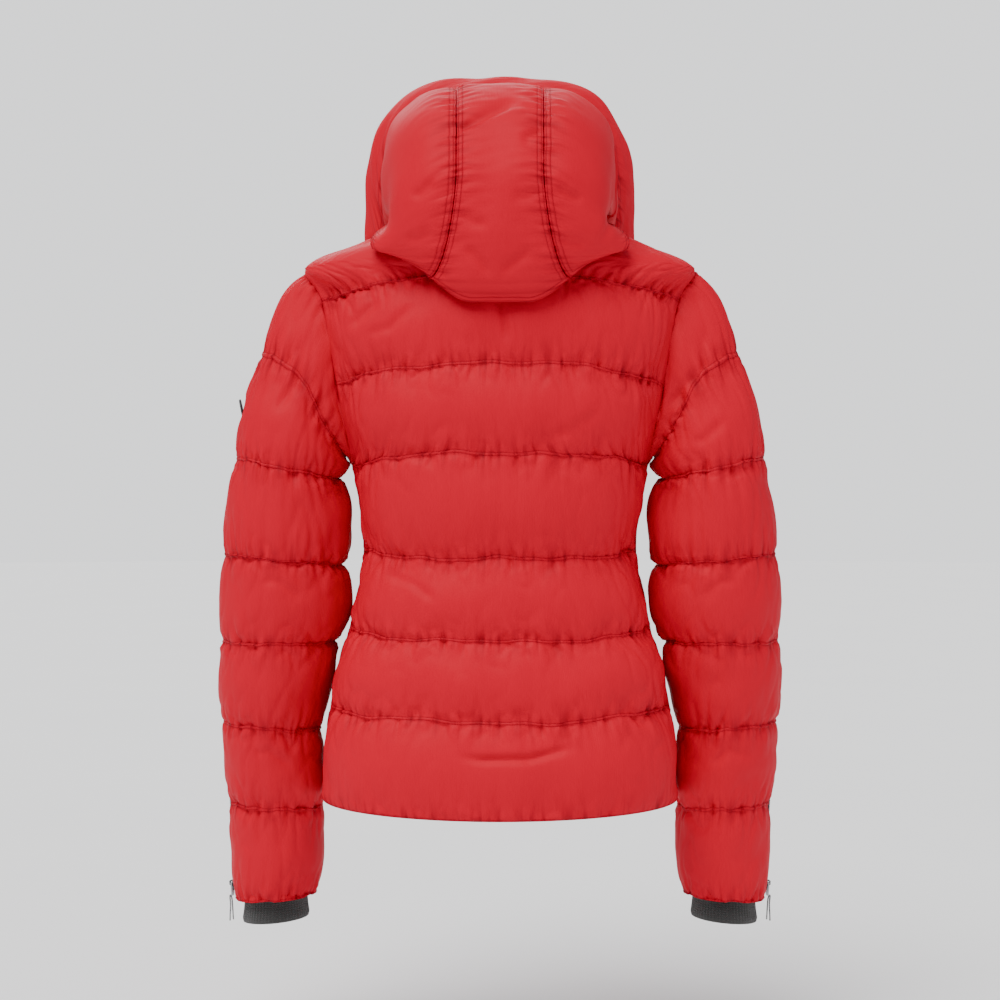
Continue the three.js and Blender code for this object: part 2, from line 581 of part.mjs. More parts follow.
// ---- The hood ----
// The angle runs over the head from the middle, to the wearer's left; t counts rows back from the brim:
// 0 the brim's edge, 2 the brim's seam, 5 the back of the head, 7 the lower edge on the yoke.
const brimSeam = 2;
const hoodEdge = 7;
const hoodEnd = 97 * degrees;
const hoodBoxiness = 0.15;
const hoodEdgeBack = 5.55; // where the lower edge lies on the body at the centre back, in quilting lines
const hoodEdgeSide = 8.6; // and beside the neck
const hoodEdgeLevel = 8 * degrees; // how far round the lower edge runs level
const hoodEdgeTurn = 72 * degrees; // and where it has climbed to its height beside the neck
const hoodEdgeDrawn = 0.09; // how much narrower than the yoke beneath it the lower edge is drawn in
const hoodEdgeLift = 5; // and lifted to stay clear
const hoodClear = 3; // between the hood's padding and the yoke
const hoodRows = stations([
  // half width, y and z of the row's middle, y and z of its widest place
  [0.45 * hoodWidth, -hoodReach, 0.86 * hoodHeight, -104, 0, 0],
  [0.5 * hoodWidth, -0.71 * hoodReach, hoodHeight, -84, 12, 0],
  [0.44 * hoodWidth, -0.37 * hoodReach, crownHeight, -52, 26, 0],
  [0.425 * hoodWidth, 0.2 * hoodDepth, 0.97 * crownHeight, -34, 33, 0],
  [0.415 * hoodWidth, 0.7 * hoodDepth, 0.75 * crownHeight, -22, 36, 0],
  [0.41 * hoodWidth, 0.96 * hoodDepth, 0.38 * crownHeight, -14, 36, 0],
  [0.405 * hoodWidth, 1.03 * hoodDepth, 0, -10, 34, 0],
  [0.4 * hoodWidth, hoodDepth, -0.31 * crownHeight, -10, 32, 0],
]);

// The lower edge rests on the yoke: low at the centre back, and up over the shoulders.
function hoodLowerEdge(angle) {
  const turned = (Math.abs(angle) - hoodEdgeLevel) / (hoodEdgeTurn - hoodEdgeLevel);
  const t = mix(hoodEdgeBack, hoodEdgeSide, smooth(turned));
  const edge = offsetPoint(body, angle, t, puff + hoodPadding + hoodClear, 1);
  const drawn = Math.abs(Math.sin(angle));
  return V(edge.x * (1 - hoodEdgeDrawn * drawn), edge.y, edge.z + hoodEdgeLift * drawn);
}

function hood(angle, t) {
  const [halfWidth, y, z, wideY, wideZ] = hoodRows(t);
  const turn = Math.abs(angle);
  const fuller = turn < Math.PI / 2 ? 1 + hoodBoxiness * Math.sin(2 * angle) ** 2 : 1;
  const narrower = 1 - 0.45 * smooth((turn - Math.PI / 2) / (hoodEnd - Math.PI / 2 + 10 * degrees));
  const up = Math.cos(angle) * fuller;
  const fan = V(halfWidth * Math.sin(angle) * fuller * narrower, mix(wideY, y, up), mix(wideZ, z, up));
  return fan.lerp(hoodLowerEdge(angle), smooth((t - 5) / (hoodEdge - 5)));
}

const hoodPuff = 5;
const hoodSeam = 21 * degrees; // from the middle to the seams of the centre panel
const hoodGap = 0.4 * degrees;
const hoodLiningGap = 7; // the lining hangs free of the padding
const liningShort = 1.25; // how far the lining stops short of the lower edge, in rows
const brimBulge = (share, t) => hoodPuff * Math.sin((Math.PI * t) / brimSeam);

function buildHood() {
  // The same angles for every row, so that neighbouring panels meet along their whole seam.
  const sideAngles = range(hoodSeam, hoodEnd, 7);
  const angles = [...sideAngles.map((angle) => -angle).reverse(), -hoodSeam / 3, hoodSeam / 3, ...sideAngles];
  const across = (low, high) => ({
    sides: () => [low, high],
    shares: angles.filter((a) => a >= low && a <= high).map((a) => (a - low) / (high - low)),
  });
  const panelRows = [brimSeam + seam, ...range(brimSeam + 0.5, hoodEdge, 9)];
  const padded = { surface: hood, facing: -1, outer: flat(0), inner: flat(hoodPadding) };
  const whole = across(-hoodEnd, hoodEnd);
  const brimRows = [0, 0.5, 1, 1.5, brimSeam - seam];
  add("hood_brim", sheet({ ...padded, ...whole, rows: brimRows, outer: brimBulge }), redShell);
  const centre = across(-hoodSeam, hoodSeam);
  const inset = { sides: () => [hoodGap - hoodSeam, hoodSeam - hoodGap] };
  add("hood_centre_panel", sheet({ ...padded, ...centre, ...inset, rows: panelRows }), redShell);
  for (const [side, hand] of [["left", 1], ["right", -1]]) {
    const panel = hand > 0 ? across(hoodSeam, hoodEnd) : across(-hoodEnd, -hoodSeam);
    add(`hood_side_${side}`, sheet({ ...padded, ...panel, rows: panelRows }), redShell);
  }
  const inside = hoodPadding + hoodLiningGap;
  const offsets = { outer: flat(inside), inner: flat(inside + liningThickness) };
  const liningRows = [0, 1, ...range(brimSeam, hoodEdge - liningShort, 8)];
  const liningEnd = sideAngles.at(-2); // the lining stops one step short of the side edges
  const liningWidth = across(-liningEnd, liningEnd);
  add("hood_lining", sheet({ ...padded, ...liningWidth, rows: liningRows, ...offsets }), darkLining);
}

buildBody();
buildCollar();
buildFrontZip();
buildPockets();
buildSleeves();
buildCuffZips();
buildBadge();
buildHood();

export default jacket;
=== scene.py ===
import math

import bpy
import numpy as np
from bpy.props import FloatProperty, FloatVectorProperty, IntProperty, PointerProperty
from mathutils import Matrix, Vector


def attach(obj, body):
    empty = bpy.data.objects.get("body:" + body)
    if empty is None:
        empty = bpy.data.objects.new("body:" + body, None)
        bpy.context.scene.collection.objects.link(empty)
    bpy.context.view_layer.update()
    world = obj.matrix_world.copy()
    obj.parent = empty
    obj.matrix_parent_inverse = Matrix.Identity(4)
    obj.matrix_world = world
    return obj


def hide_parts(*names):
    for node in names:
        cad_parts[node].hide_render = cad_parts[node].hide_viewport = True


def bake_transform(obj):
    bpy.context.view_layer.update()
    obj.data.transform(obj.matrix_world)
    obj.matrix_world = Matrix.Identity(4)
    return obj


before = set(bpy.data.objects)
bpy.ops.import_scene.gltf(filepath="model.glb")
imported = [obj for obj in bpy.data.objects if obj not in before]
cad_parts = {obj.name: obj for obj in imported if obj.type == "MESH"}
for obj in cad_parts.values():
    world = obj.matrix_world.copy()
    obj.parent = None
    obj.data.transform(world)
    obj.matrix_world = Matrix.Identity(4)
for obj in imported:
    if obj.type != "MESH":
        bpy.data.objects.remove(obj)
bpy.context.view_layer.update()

bl_info = {
    "name": "Quilted ski jacket",
    "version": (1, 0, 0),
    "blender": (4, 5, 0),
    "location": "3D View > Sidebar > Jacket",
    "description": "Cuts, quilts, pads and finishes a hooded ski jacket on its packed frame",
    "category": "Object",
}

# Shapes are worked out in millimetres and put into Blender in metres.
MM = 0.001
DEGREES = math.pi / 180
HANDS = (("left", 1), ("right", -1))

# ---- Sizes of the jacket's pattern ----
BACK_LENGTH = 588
SHOULDER_WIDTH = 406
SHOULDER_DROP = 26
UNDERARM_WIDTH = 310
WAIST_WIDTH = 286
HEM_WIDTH = 372
BACK_DEPTH = 108
SLEEVE_LENGTH = 668
SLEEVE_WIDTH = 124
CUFF_WIDTH = 88
NECK_WIDTH = 148
COLLAR_HEIGHT = 62
HOOD_WIDTH = 282
HOOD_HEIGHT = 184
CROWN_HEIGHT = 164
HOOD_DEPTH = 130
HOOD_REACH = 124
PUFF = 9
WADDING_INSET = 5.6
LINING_INSET = 12
LINING_THICKNESS = 1.5
HOOD_PADDING = 6
RIB_LENGTH = 24
GAP = 0.6
ZIP_CHANNEL = 8
ZIP_TOP_LEAN = -97
ZIP_LEAN = 0.052
COIL_WIDTH = 3
COIL_HEIGHT = 2.6
TAPE_THICKNESS = 1
POCKET_ZIP_LENGTH = 140
CUFF_ZIP_LENGTH = 168
CORD_DIAMETER = 1.6
CORD_LENGTH = 60
BADGE_WIDTH = 23
COLLAR_PADDING = 4

# Quilting lines are counted up the body from the hem, and down the sleeve from the armhole.
UNDERARM = 4
YOKE_SEAM = 6
SHOULDER = 7
NECK = 9
HEAD_END = 3
SLEEVE_HEM = 7
BRIM_SEAM = 2
HOOD_EDGE = 7
HOOD_END = 97 * DEGREES
HOOD_SEAM = 21 * DEGREES
CUFF_ZIP_TURN = 104 * DEGREES
SEAM_HALF = 0.002
BADGE_PLACE = (86 * DEGREES, 1.5)
PATCH_LIFT = 2.9
PATCH_BED = 2.6
ARMHOLE_TURN = 24 * DEGREES
RIB_CLEAR = 1.8
RIB_TUCK = 26
RIB_WAIST = 0.06
HEAD_RISE = 73
HEAD_FALL = 2
SLEEVE_LEAVE = (36, 0, -22)
SLEEVE_TUCK = (-2, 0, -0.8)
HOOD_EDGE_BACK = 5.55
HOOD_EDGE_SIDE = 8.6
HOOD_EDGE_LEVEL = 8 * DEGREES
HOOD_EDGE_TURN = 72 * DEGREES
HOOD_EDGE_DRAWN = 0.09
HOOD_EDGE_LIFT = 5
HOOD_CLEAR = 3
ARM_BLEND_START = (0.141, 0, -0.188)
ARM_BLEND_END = (0.288, 0, -0.384)


# ---- Curves through stations ----
def mix(a, b, share):
    """The value a share of the way from a to b."""
    return a + (b - a) * share


def smooth(x):
    """0 below 0, 1 above 1, and 3x squared less 2x cubed between."""
    x = np.clip(x, 0, 1)
    return x * x * (3 - 2 * x)


def stations(rows):
    """A cubic through each column of the rows; its slope at a row is half the step between its neighbours."""
    rows = np.array(rows, float)
    last = len(rows) - 1
    padded = np.vstack([2 * rows[0] - rows[1], rows, 2 * rows[-1] - rows[-2]])

    def at(place):
        place = np.clip(np.asarray(place, float), 0, last)
        k = np.minimum(place.astype(int), last - 1)
        x = (place - k)[..., None]
        p0, p1, p2, p3 = (padded[k + i] for i in range(4))
        m1, m2 = (p2 - p0) / 2, (p3 - p1) / 2
        return p1 + m1 * x + (3 * (p2 - p1) - 2 * m1 - m2) * x**2 + (2 * (p1 - p2) + m1 + m2) * x**3

    return at


def vec(x, y, z):
    """Coordinates stacked as points."""
    return np.stack(np.broadcast_arrays(x, y, z), -1).astype(float)


def unit(v):
    """Vectors at length 1."""
    return v / np.maximum(np.linalg.norm(v, axis=-1, keepdims=True), 1e-12)


def outward(surface, s, t, facing):
    """The normal of a surface: the slope along t crossed with the slope along s, turned to face outwards."""
    e = 1e-3
    along_s = surface(s + e, t) - surface(s - e, t)
    along_t = surface(s, t + e) - surface(s, t - e)
    return unit(np.cross(along_t, along_s)) * facing


def outward_of_grid(points):
    """The normals of a grid whose outside is the side of the slope across crossed with the slope down."""
    return unit(np.cross(np.gradient(points, axis=1), np.gradient(points, axis=0)))


# ---- The jacket's surfaces ----
BODY_LINES = stations([
    # half width, depth of the back, height at the side, dip of the centre back, dip of the front
    [HEM_WIDTH / 2, BACK_DEPTH * 1.08, 8 - BACK_LENGTH, 8, 2],
    [mix(WAIST_WIDTH, HEM_WIDTH, 0.8) / 2, BACK_DEPTH * 1.04, -0.818 * BACK_LENGTH, 9, 4],
    [mix(WAIST_WIDTH, HEM_WIDTH, 0.34) / 2, BACK_DEPTH * 0.96, -0.682 * BACK_LENGTH, 8, 3],
    [WAIST_WIDTH / 2, BACK_DEPTH * 0.89, -0.545 * BACK_LENGTH, 6, 2],
    [UNDERARM_WIDTH / 2, BACK_DEPTH * 0.98, -0.395 * BACK_LENGTH, -14, 0],
    [mix(UNDERARM_WIDTH, SHOULDER_WIDTH, 0.5) / 2, BACK_DEPTH * 0.95, -0.258 * BACK_LENGTH, -25, 14],
    [mix(UNDERARM_WIDTH, SHOULDER_WIDTH, 0.84) / 2, BACK_DEPTH * 0.8, -0.112 * BACK_LENGTH, -30, 40],
    [SHOULDER_WIDTH / 2, BACK_DEPTH * 0.7, -SHOULDER_DROP, -6, 58],
    [mix(NECK_WIDTH, SHOULDER_WIDTH, 0.52) / 2, BACK_DEPTH * 0.62, 2, 10, 70],
    [NECK_WIDTH / 2, BACK_DEPTH * 0.56, 22, 22, 80],
])


def zip_plane(z):
    """How far forward the front zip stands at a height."""
    return ZIP_TOP_LEAN + ZIP_LEAN * z


def body(angle, t):
    """Round the body from the centre back and up its quilting lines: half an ellipse behind, half before."""
    half_width, depth, side_height, back_dip, front_dip = np.moveaxis(BODY_LINES(t), -1, 0)
    back = np.maximum(0, np.cos(angle))
    front = np.maximum(0, -np.cos(angle))
    z = side_height - back_dip * back**2 - front_dip * smooth(front)
    fuller = 1 + 0.05 * np.sin(2 * angle) ** 2
    reach = np.where(front > 0, zip_plane(z) * front, depth * back)
    return vec(half_width * np.sin(angle) * fuller, reach * fuller, z)


def armhole_half(t):
    """How far round the body the armhole reaches from the side seam: half a circle over its rows."""
    share = np.clip((t - UNDERARM) / (SHOULDER - UNDERARM), 0, 1)
    return ARMHOLE_TURN * 2 * np.sqrt(share * (1 - share))


def side_edge(t):
    """The cut edge beside the side seam or armhole, as an angle."""
    return np.maximum(armhole_half(t), np.arcsin(GAP / 2 / BODY_LINES(t)[..., 1]))


def zip_edge(t):
    """The cut edge beside the front zip, as an angle."""
    return math.pi - np.arcsin(ZIP_CHANNEL / BODY_LINES(t)[..., 0])


def collar(angle, t):
    """Straight up from the neck seam, leaning in a little, lower at the front."""
    base = body(angle, np.full_like(np.asarray(angle, float), NECK))
    front = np.maximum(0, -np.cos(angle))
    z = mix(base[..., 2] + 2 * GAP, COLLAR_HEIGHT - 24 * smooth(front), t)
    ahead = base[..., 1] / zip_plane(base[..., 2]) * zip_plane(z)
    y = np.where(front > 0, ahead, base[..., 1] * mix(1, 1.06, t))
    return vec(base[..., 0] * mix(1, 0.96, t), y, z)


UNDERARM_HEIGHT = -0.395 * BACK_LENGTH


def sleeve_down(share):
    """The height a share of the way from just below the underarm to the sleeve's hem."""
    return mix(UNDERARM_HEIGHT - HEAD_FALL, -SHOULDER_DROP - SLEEVE_LENGTH, share)


SLEEVE_IN = UNDERARM_WIDTH / 2 + 6
SLEEVE_LINES = stations([
    # centre x, y and z, half width, half depth, tilt in degrees
    [SLEEVE_IN + 56, 0, UNDERARM_HEIGHT + HEAD_RISE, 0.8 * SLEEVE_WIDTH * 0.5, 54, 24],
    [SLEEVE_IN + 62, 0, sleeve_down(0), 0.88 * SLEEVE_WIDTH * 0.5, 57, 12],
    [SLEEVE_IN + 67, -6, sleeve_down(0.208), 0.5 * SLEEVE_WIDTH, 59, 5],
    [SLEEVE_IN + 73, -18, sleeve_down(0.397), 0.48 * SLEEVE_WIDTH, 58, 0],
    [SLEEVE_IN + 81, -34, sleeve_down(0.593), 0.42 * SLEEVE_WIDTH, 54, 4],
    [SLEEVE_IN + 78, -50, sleeve_down(0.782), mix(CUFF_WIDTH, SLEEVE_WIDTH, 0.3) / 2, 50, 2],
    [SLEEVE_IN + 80, -62, sleeve_down(1), CUFF_WIDTH / 2, 46, -4],
])


def sleeve_ring(angle, t):
    """A tilted ellipse round the arm; angle 0 is its back, a quarter turn its outer side."""
    x, y, z, half_width, half_depth, tilt = np.moveaxis(SLEEVE_LINES(np.asarray(t, float) - 1), -1, 0)
    out = half_width * np.sin(angle)
    lean = tilt * DEGREES
    return vec(x + out * np.cos(lean), y + half_depth * np.cos(angle), z + out * np.sin(lean))


def sleeve(angle, t):
    """From the armhole a cubic bends over the sleeve head to the second line, then rings run down the arm."""
    angle, t = np.broadcast_arrays(np.asarray(angle, float), np.asarray(t, float))
    turn = math.pi / 2 - ARMHOLE_TURN * np.cos(angle)
    start = body(turn, mix(UNDERARM, SHOULDER, (1 + np.sin(angle)) / 2)) + np.array(SLEEVE_TUCK)
    low = sleeve_ring(angle, np.full_like(t, 2))
    leave = np.maximum(0, np.sin(angle))[..., None] * np.array(SLEEVE_LEAVE)
    arrive = low - sleeve_ring(angle, np.full_like(t, 2.5))
    x = np.clip(t / 2, None, 1)[..., None]
    head = start * (1 - x) ** 3 + (start + leave) * 3 * x * (1 - x) ** 2
    head = head + (low + arrive) * 3 * x**2 * (1 - x) + low * x**3
    return np.where(t[..., None] < 2, head, sleeve_ring(angle, t))


def rib_cuff(angle, t):
    """The knitted cuff: the sleeve's hem drawn in, from inside the lining to below the hem."""
    hem = sleeve_ring(angle, np.full_like(np.asarray(angle, float), SLEEVE_HEM))
    centre, above = SLEEVE_LINES(6.0), SLEEVE_LINES(5.0)
    narrow = (WADDING_INSET + GAP + RIB_CLEAR) / (CUFF_WIDTH / 2)
    share = 1 - narrow - RIB_WAIST * np.sin(math.pi * t)
    rise = mix(RIB_TUCK, -RIB_LENGTH, t)
    lean = np.maximum(0, rise) / (above[2] - centre[2])
    x = mix(centre[0], hem[..., 0], share) + lean * (above[0] - centre[0])
    y = mix(centre[1], hem[..., 1], share) + lean * (above[1] - centre[1])
    return vec(x, y, hem[..., 2] + rise)


HOOD_LINES = stations([
    # half width, y and z of the row's middle, y and z of its widest place
    [0.45 * HOOD_WIDTH, -HOOD_REACH, 0.86 * HOOD_HEIGHT, -104, 0],
    [0.5 * HOOD_WIDTH, -0.71 * HOOD_REACH, HOOD_HEIGHT, -84, 12],
    [0.44 * HOOD_WIDTH, -0.37 * HOOD_REACH, CROWN_HEIGHT, -52, 26],
    [0.425 * HOOD_WIDTH, 0.2 * HOOD_DEPTH, 0.97 * CROWN_HEIGHT, -34, 33],
    [0.415 * HOOD_WIDTH, 0.7 * HOOD_DEPTH, 0.75 * CROWN_HEIGHT, -22, 36],
    [0.41 * HOOD_WIDTH, 0.96 * HOOD_DEPTH, 0.38 * CROWN_HEIGHT, -14, 36],
    [0.405 * HOOD_WIDTH, 1.03 * HOOD_DEPTH, 0, -10, 34],
    [0.4 * HOOD_WIDTH, HOOD_DEPTH, -0.31 * CROWN_HEIGHT, -10, 32],
])


def hood_lower_edge(angle):
    """The hood's lower edge on the yoke: low at the centre back, climbing beside the neck."""
    turned = (np.abs(angle) - HOOD_EDGE_LEVEL) / (HOOD_EDGE_TURN - HOOD_EDGE_LEVEL)
    t = mix(HOOD_EDGE_BACK, HOOD_EDGE_SIDE, smooth(turned))
    edge = body(angle, t) + outward(body, angle, t, 1) * (PUFF + HOOD_PADDING + HOOD_CLEAR)
    drawn = np.abs(np.sin(angle))
    return vec(edge[..., 0] * (1 - HOOD_EDGE_DRAWN * drawn), edge[..., 1], edge[..., 2] + HOOD_EDGE_LIFT * drawn)


def hood(angle, t):
    """Fans over the head, widest at its sides, that run down into the lower edge."""
    angle, t = np.broadcast_arrays(np.asarray(angle, float), np.asarray(t, float))
    half_width, y, z, wide_y, wide_z = np.moveaxis(HOOD_LINES(t), -1, 0)
    turn = np.abs(angle)
    fuller = np.where(turn < math.pi / 2, 1 + 0.15 * np.sin(2 * angle) ** 2, 1)
    narrower = 1 - 0.45 * smooth((turn - math.pi / 2) / (HOOD_END - math.pi / 2 + 10 * DEGREES))
    up = np.cos(angle) * fuller
    fan = vec(half_width * np.sin(angle) * fuller * narrower, mix(wide_y, y, up), mix(wide_z, z, up))
    return mix(fan, hood_lower_edge(angle), smooth((t - 5) / (HOOD_EDGE - 5))[..., None])


# ---- Places of the zips ----
def frame_at(origin, along, facing):
    """Three axes and an origin: the third axis runs along the zip, and the second points into the cloth."""
    z = unit(np.array(along, float))
    x = unit(np.cross(z, np.array(facing, float)))
    return np.stack([x, np.cross(z, x), z], 1), np.array(origin, float)


def placed(where, points, hand=1):
    """Points of a zip's own space in the jacket's space, mirrored for the wearer's right."""
    axes, origin = where
    return (points @ axes.T + origin) * np.array([hand, 1, 1])


def pocket_frame():
    """The left pocket's zip, leaning forward up the front."""
    high = body(138 * DEGREES, 3 - 0.42)
    low = body(127 * DEGREES, 1.1)
    middle = (high + low) / 2
    return frame_at(middle, high - low, [middle[0], 1.4 * middle[1], 0])


def cuff_frame():
    """The left cuff's zip, up from the sleeve's hem, a little in front of the outer side."""
    low = sleeve(CUFF_ZIP_TURN, SLEEVE_HEM)
    high = sleeve(CUFF_ZIP_TURN, SLEEVE_HEM - 2.2 * CUFF_ZIP_LENGTH / SLEEVE_LENGTH / 0.3)
    along = unit(high - low)
    facing = np.array([math.sin(CUFF_ZIP_TURN), math.cos(CUFF_ZIP_TURN), 0])
    return frame_at(low + along * (CUFF_ZIP_LENGTH / 2 + 4) - facing, along, facing)


def front_frame():
    """The front zip, and its length."""
    bottom = float(body(math.pi, 0.0)[2]) + 6
    top = float(collar(math.pi, 1.0)[2])
    middle = (top + bottom) / 2
    length = (top - bottom) * math.hypot(1, ZIP_LEAN)
    return frame_at([0, zip_plane(middle), middle], [0, ZIP_LEAN, 1], [0, -1, 0]), length


# ---- Meshes ----
def make_piece(name, points, faces, finish, uv=None, flat=False, around=0.0):
    """Points in millimetres and arrays of faces become one object at the origin.

    uv maps a name to two values a point. Where a map runs right round a piece, around is its length there,
    and a face that crosses from the end to the start carries on past the end.
    """
    loops = np.concatenate([f.ravel() for f in faces]).astype(np.int32)
    counts = np.concatenate([np.full(len(f), f.shape[1]) for f in faces])
    starts = np.concatenate([[0], np.cumsum(counts)[:-1]]).astype(np.int32)
    mesh = bpy.data.meshes.new(name)
    mesh.vertices.add(len(points))
    mesh.vertices.foreach_set("co", (points * MM).astype(np.float32).ravel())
    mesh.loops.add(len(loops))
    mesh.loops.foreach_set("vertex_index", loops)
    mesh.polygons.add(len(counts))
    mesh.polygons.foreach_set("loop_start", starts)
    mesh.update(calc_edges=True)
    mesh.polygons.foreach_set("use_smooth", np.full(len(counts), not flat))
    for layer, values in (uv or {}).items():
        mesh.uv_layers.new(name=layer)
        corners = []
        for group in faces:
            place = values[group]
            if around:
                behind = place[..., 0].max(1, keepdims=True) - place[..., 0] > around / 2
                place[..., 0] += around * behind
            corners.append(place.reshape(-1, 2))
        mesh.uv_layers[layer].data.foreach_set("uv", np.vstack(corners).astype(np.float32).ravel())
    mesh.materials.append(finish)
    piece = bpy.data.objects.new(name, mesh)
    bpy.context.scene.collection.objects.link(piece)
    return piece


def grid_faces(rows, columns, ring=False):
    """Quads of a grid; they face the side of the slope along the rows crossed with that along the columns."""
    index = np.arange(rows * columns).reshape(rows, columns)
    if ring:
        index = np.hstack([index, index[:, :1]])
    quads = np.stack([index[:-1, :-1], index[1:, :-1], index[1:, 1:], index[:-1, 1:]], -1)
    return quads.reshape(-1, 4)


def closed_sheet(outer, inner, ring, facing, step=1):
    """A closed body from two grids; the inner keeps every step-th row and column, and rim faces join them."""
    rows, columns = outer.shape[:2]
    kept_rows = np.arange(0, rows, step)
    kept_columns = np.arange(0, columns, step)
    inner = inner[np.ix_(kept_rows, kept_columns)]
    inner_rows, inner_columns = inner.shape[:2]
    index = np.arange(rows * columns).reshape(rows, columns)
    within = np.arange(inner_rows * inner_columns).reshape(inner_rows, inner_columns) + rows * columns
    if ring:
        index = np.hstack([index, index[:, :1]])
        within = np.hstack([within, within[:, :1]])

    def rim(fine, coarse):
        # One face a coarse step: the fine edge forward, then the coarse edge back.
        forward = np.stack([fine[i : len(fine) - step + i : step] for i in range(step + 1)], -1)
        return np.hstack([forward, coarse[1:, None], coarse[:-1, None]])

    faces = [
        grid_faces(rows, columns, ring),
        grid_faces(inner_rows, inner_columns, ring)[:, ::-1] + rows * columns,
        rim(index[0], within[0]),
        rim(index[-1], within[-1])[:, ::-1],
    ]
    if not ring:
        faces += [rim(index[:, 0], within[:, 0])[:, ::-1], rim(index[:, -1], within[:, -1])]
    if facing < 0:
        faces = [f[:, ::-1] for f in faces]
    return np.vstack([outer.reshape(-1, 3), inner.reshape(-1, 3)]), faces


def both_layers(values, step=1):
    """Values of the outer grid followed by those at the inner grid's kept points."""
    inner = values[::step, ::step]
    return np.vstack([values.reshape(-1, values.shape[-1]), inner.reshape(-1, values.shape[-1])])


def tube(path, radius, sides=8):
    """A round tube along a path, on axes carried by the mean direction, with a point closing each end."""
    along = unit(np.gradient(path, axis=0))
    side = unit(np.cross(along, np.array([0.31, 0.9, 0.29])))
    other = np.cross(along, side)
    turn = np.arange(sides) * 2 * math.pi / sides
    ring = np.cos(turn)[None, :, None] * side[:, None] + np.sin(turn)[None, :, None] * other[:, None]
    points = (path[:, None] + radius * ring).reshape(-1, 3)
    count = len(path)
    index = np.arange(count * sides).reshape(count, sides)
    ends = [path[0] - along[0] * radius * 0.5, path[-1] + along[-1] * radius * 0.5]
    first = np.stack([index[0], np.roll(index[0], -1), np.full(sides, count * sides)], -1)
    last = np.stack([np.roll(index[-1], -1), index[-1], np.full(sides, count * sides + 1)], -1)
    faces = [grid_faces(count, sides, True)[:, ::-1], first[:, ::-1], last[:, ::-1]]
    return np.vstack([points, ends]), faces


def repeated(points, faces, offsets):
    """One small shape at every offset."""
    count = len(points)
    all_points = (points[None] + offsets[:, None]).reshape(-1, 3)
    shift = (np.arange(len(offsets)) * count)[:, None, None]
    return all_points, [(f[None] + shift).reshape(-1, f.shape[1]) for f in faces]


def mirror(points, faces):
    """The wearer's right-hand shape from the left-hand one, with its faces turned to point outwards."""
    return points * np.array([-1, 1, 1]), [f[:, ::-1] for f in faces]


# ---- Random but repeatable folds ----
def waves(seed, u, v, count, shortest, longest):
    """A sum of sine waves in random directions, about 1 high, with lengths between two limits."""
    draw = np.random.default_rng(seed)
    total = np.zeros(np.broadcast(u, v).shape)
    for _ in range(count):
        length = math.exp(draw.uniform(math.log(shortest), math.log(longest)))
        turn = draw.uniform(0, math.pi)
        phase = draw.uniform(0, 2 * math.pi)
        total += np.sin(2 * math.pi * (u * math.cos(turn) + v * math.sin(turn)) / length + phase)
    return total / math.sqrt(count)


def crease(u, v, points, width):
    """1 along a line through the points, fading over its width to the sides and towards its two ends."""
    best = np.zeros(np.broadcast(u, v).shape)
    points = np.array(points, float)
    lengths = np.linalg.norm(np.diff(points, axis=0), axis=1)
    run = np.concatenate([[0], np.cumsum(lengths)])
    for (a, b), length, start in zip(zip(points[:-1], points[1:]), lengths, run):
        x = np.clip(((u - a[0]) * (b[0] - a[0]) + (v - a[1]) * (b[1] - a[1])) / length**2, 0, 1)
        away = np.hypot(u - mix(a[0], b[0], x), v - mix(a[1], b[1], x))
        end = smooth(np.minimum(start + x * length, run[-1] - start - x * length) / (0.3 * run[-1]))
        best = np.maximum(best, np.exp(-((away / width) ** 2)) * end)
    return best


def wobble(angle, t):
    """How far each quilting line wanders, in lines: slow waves of its own, faded into the next line's."""
    total = np.zeros(np.broadcast(angle, t).shape)
    for line in range(0, 10):
        near = np.maximum(0, 1 - np.abs(t - line))
        draw = np.random.default_rng(100 + line)
        a, b, c = draw.uniform(0, 2 * math.pi, 3)
        wave = 0.016 * np.sin(5 * angle + a) + 0.012 * np.sin(11 * angle + b) + 0.006 * np.sin(23 * angle + c)
        total += near * wave * (0 < line < 9)
    return total


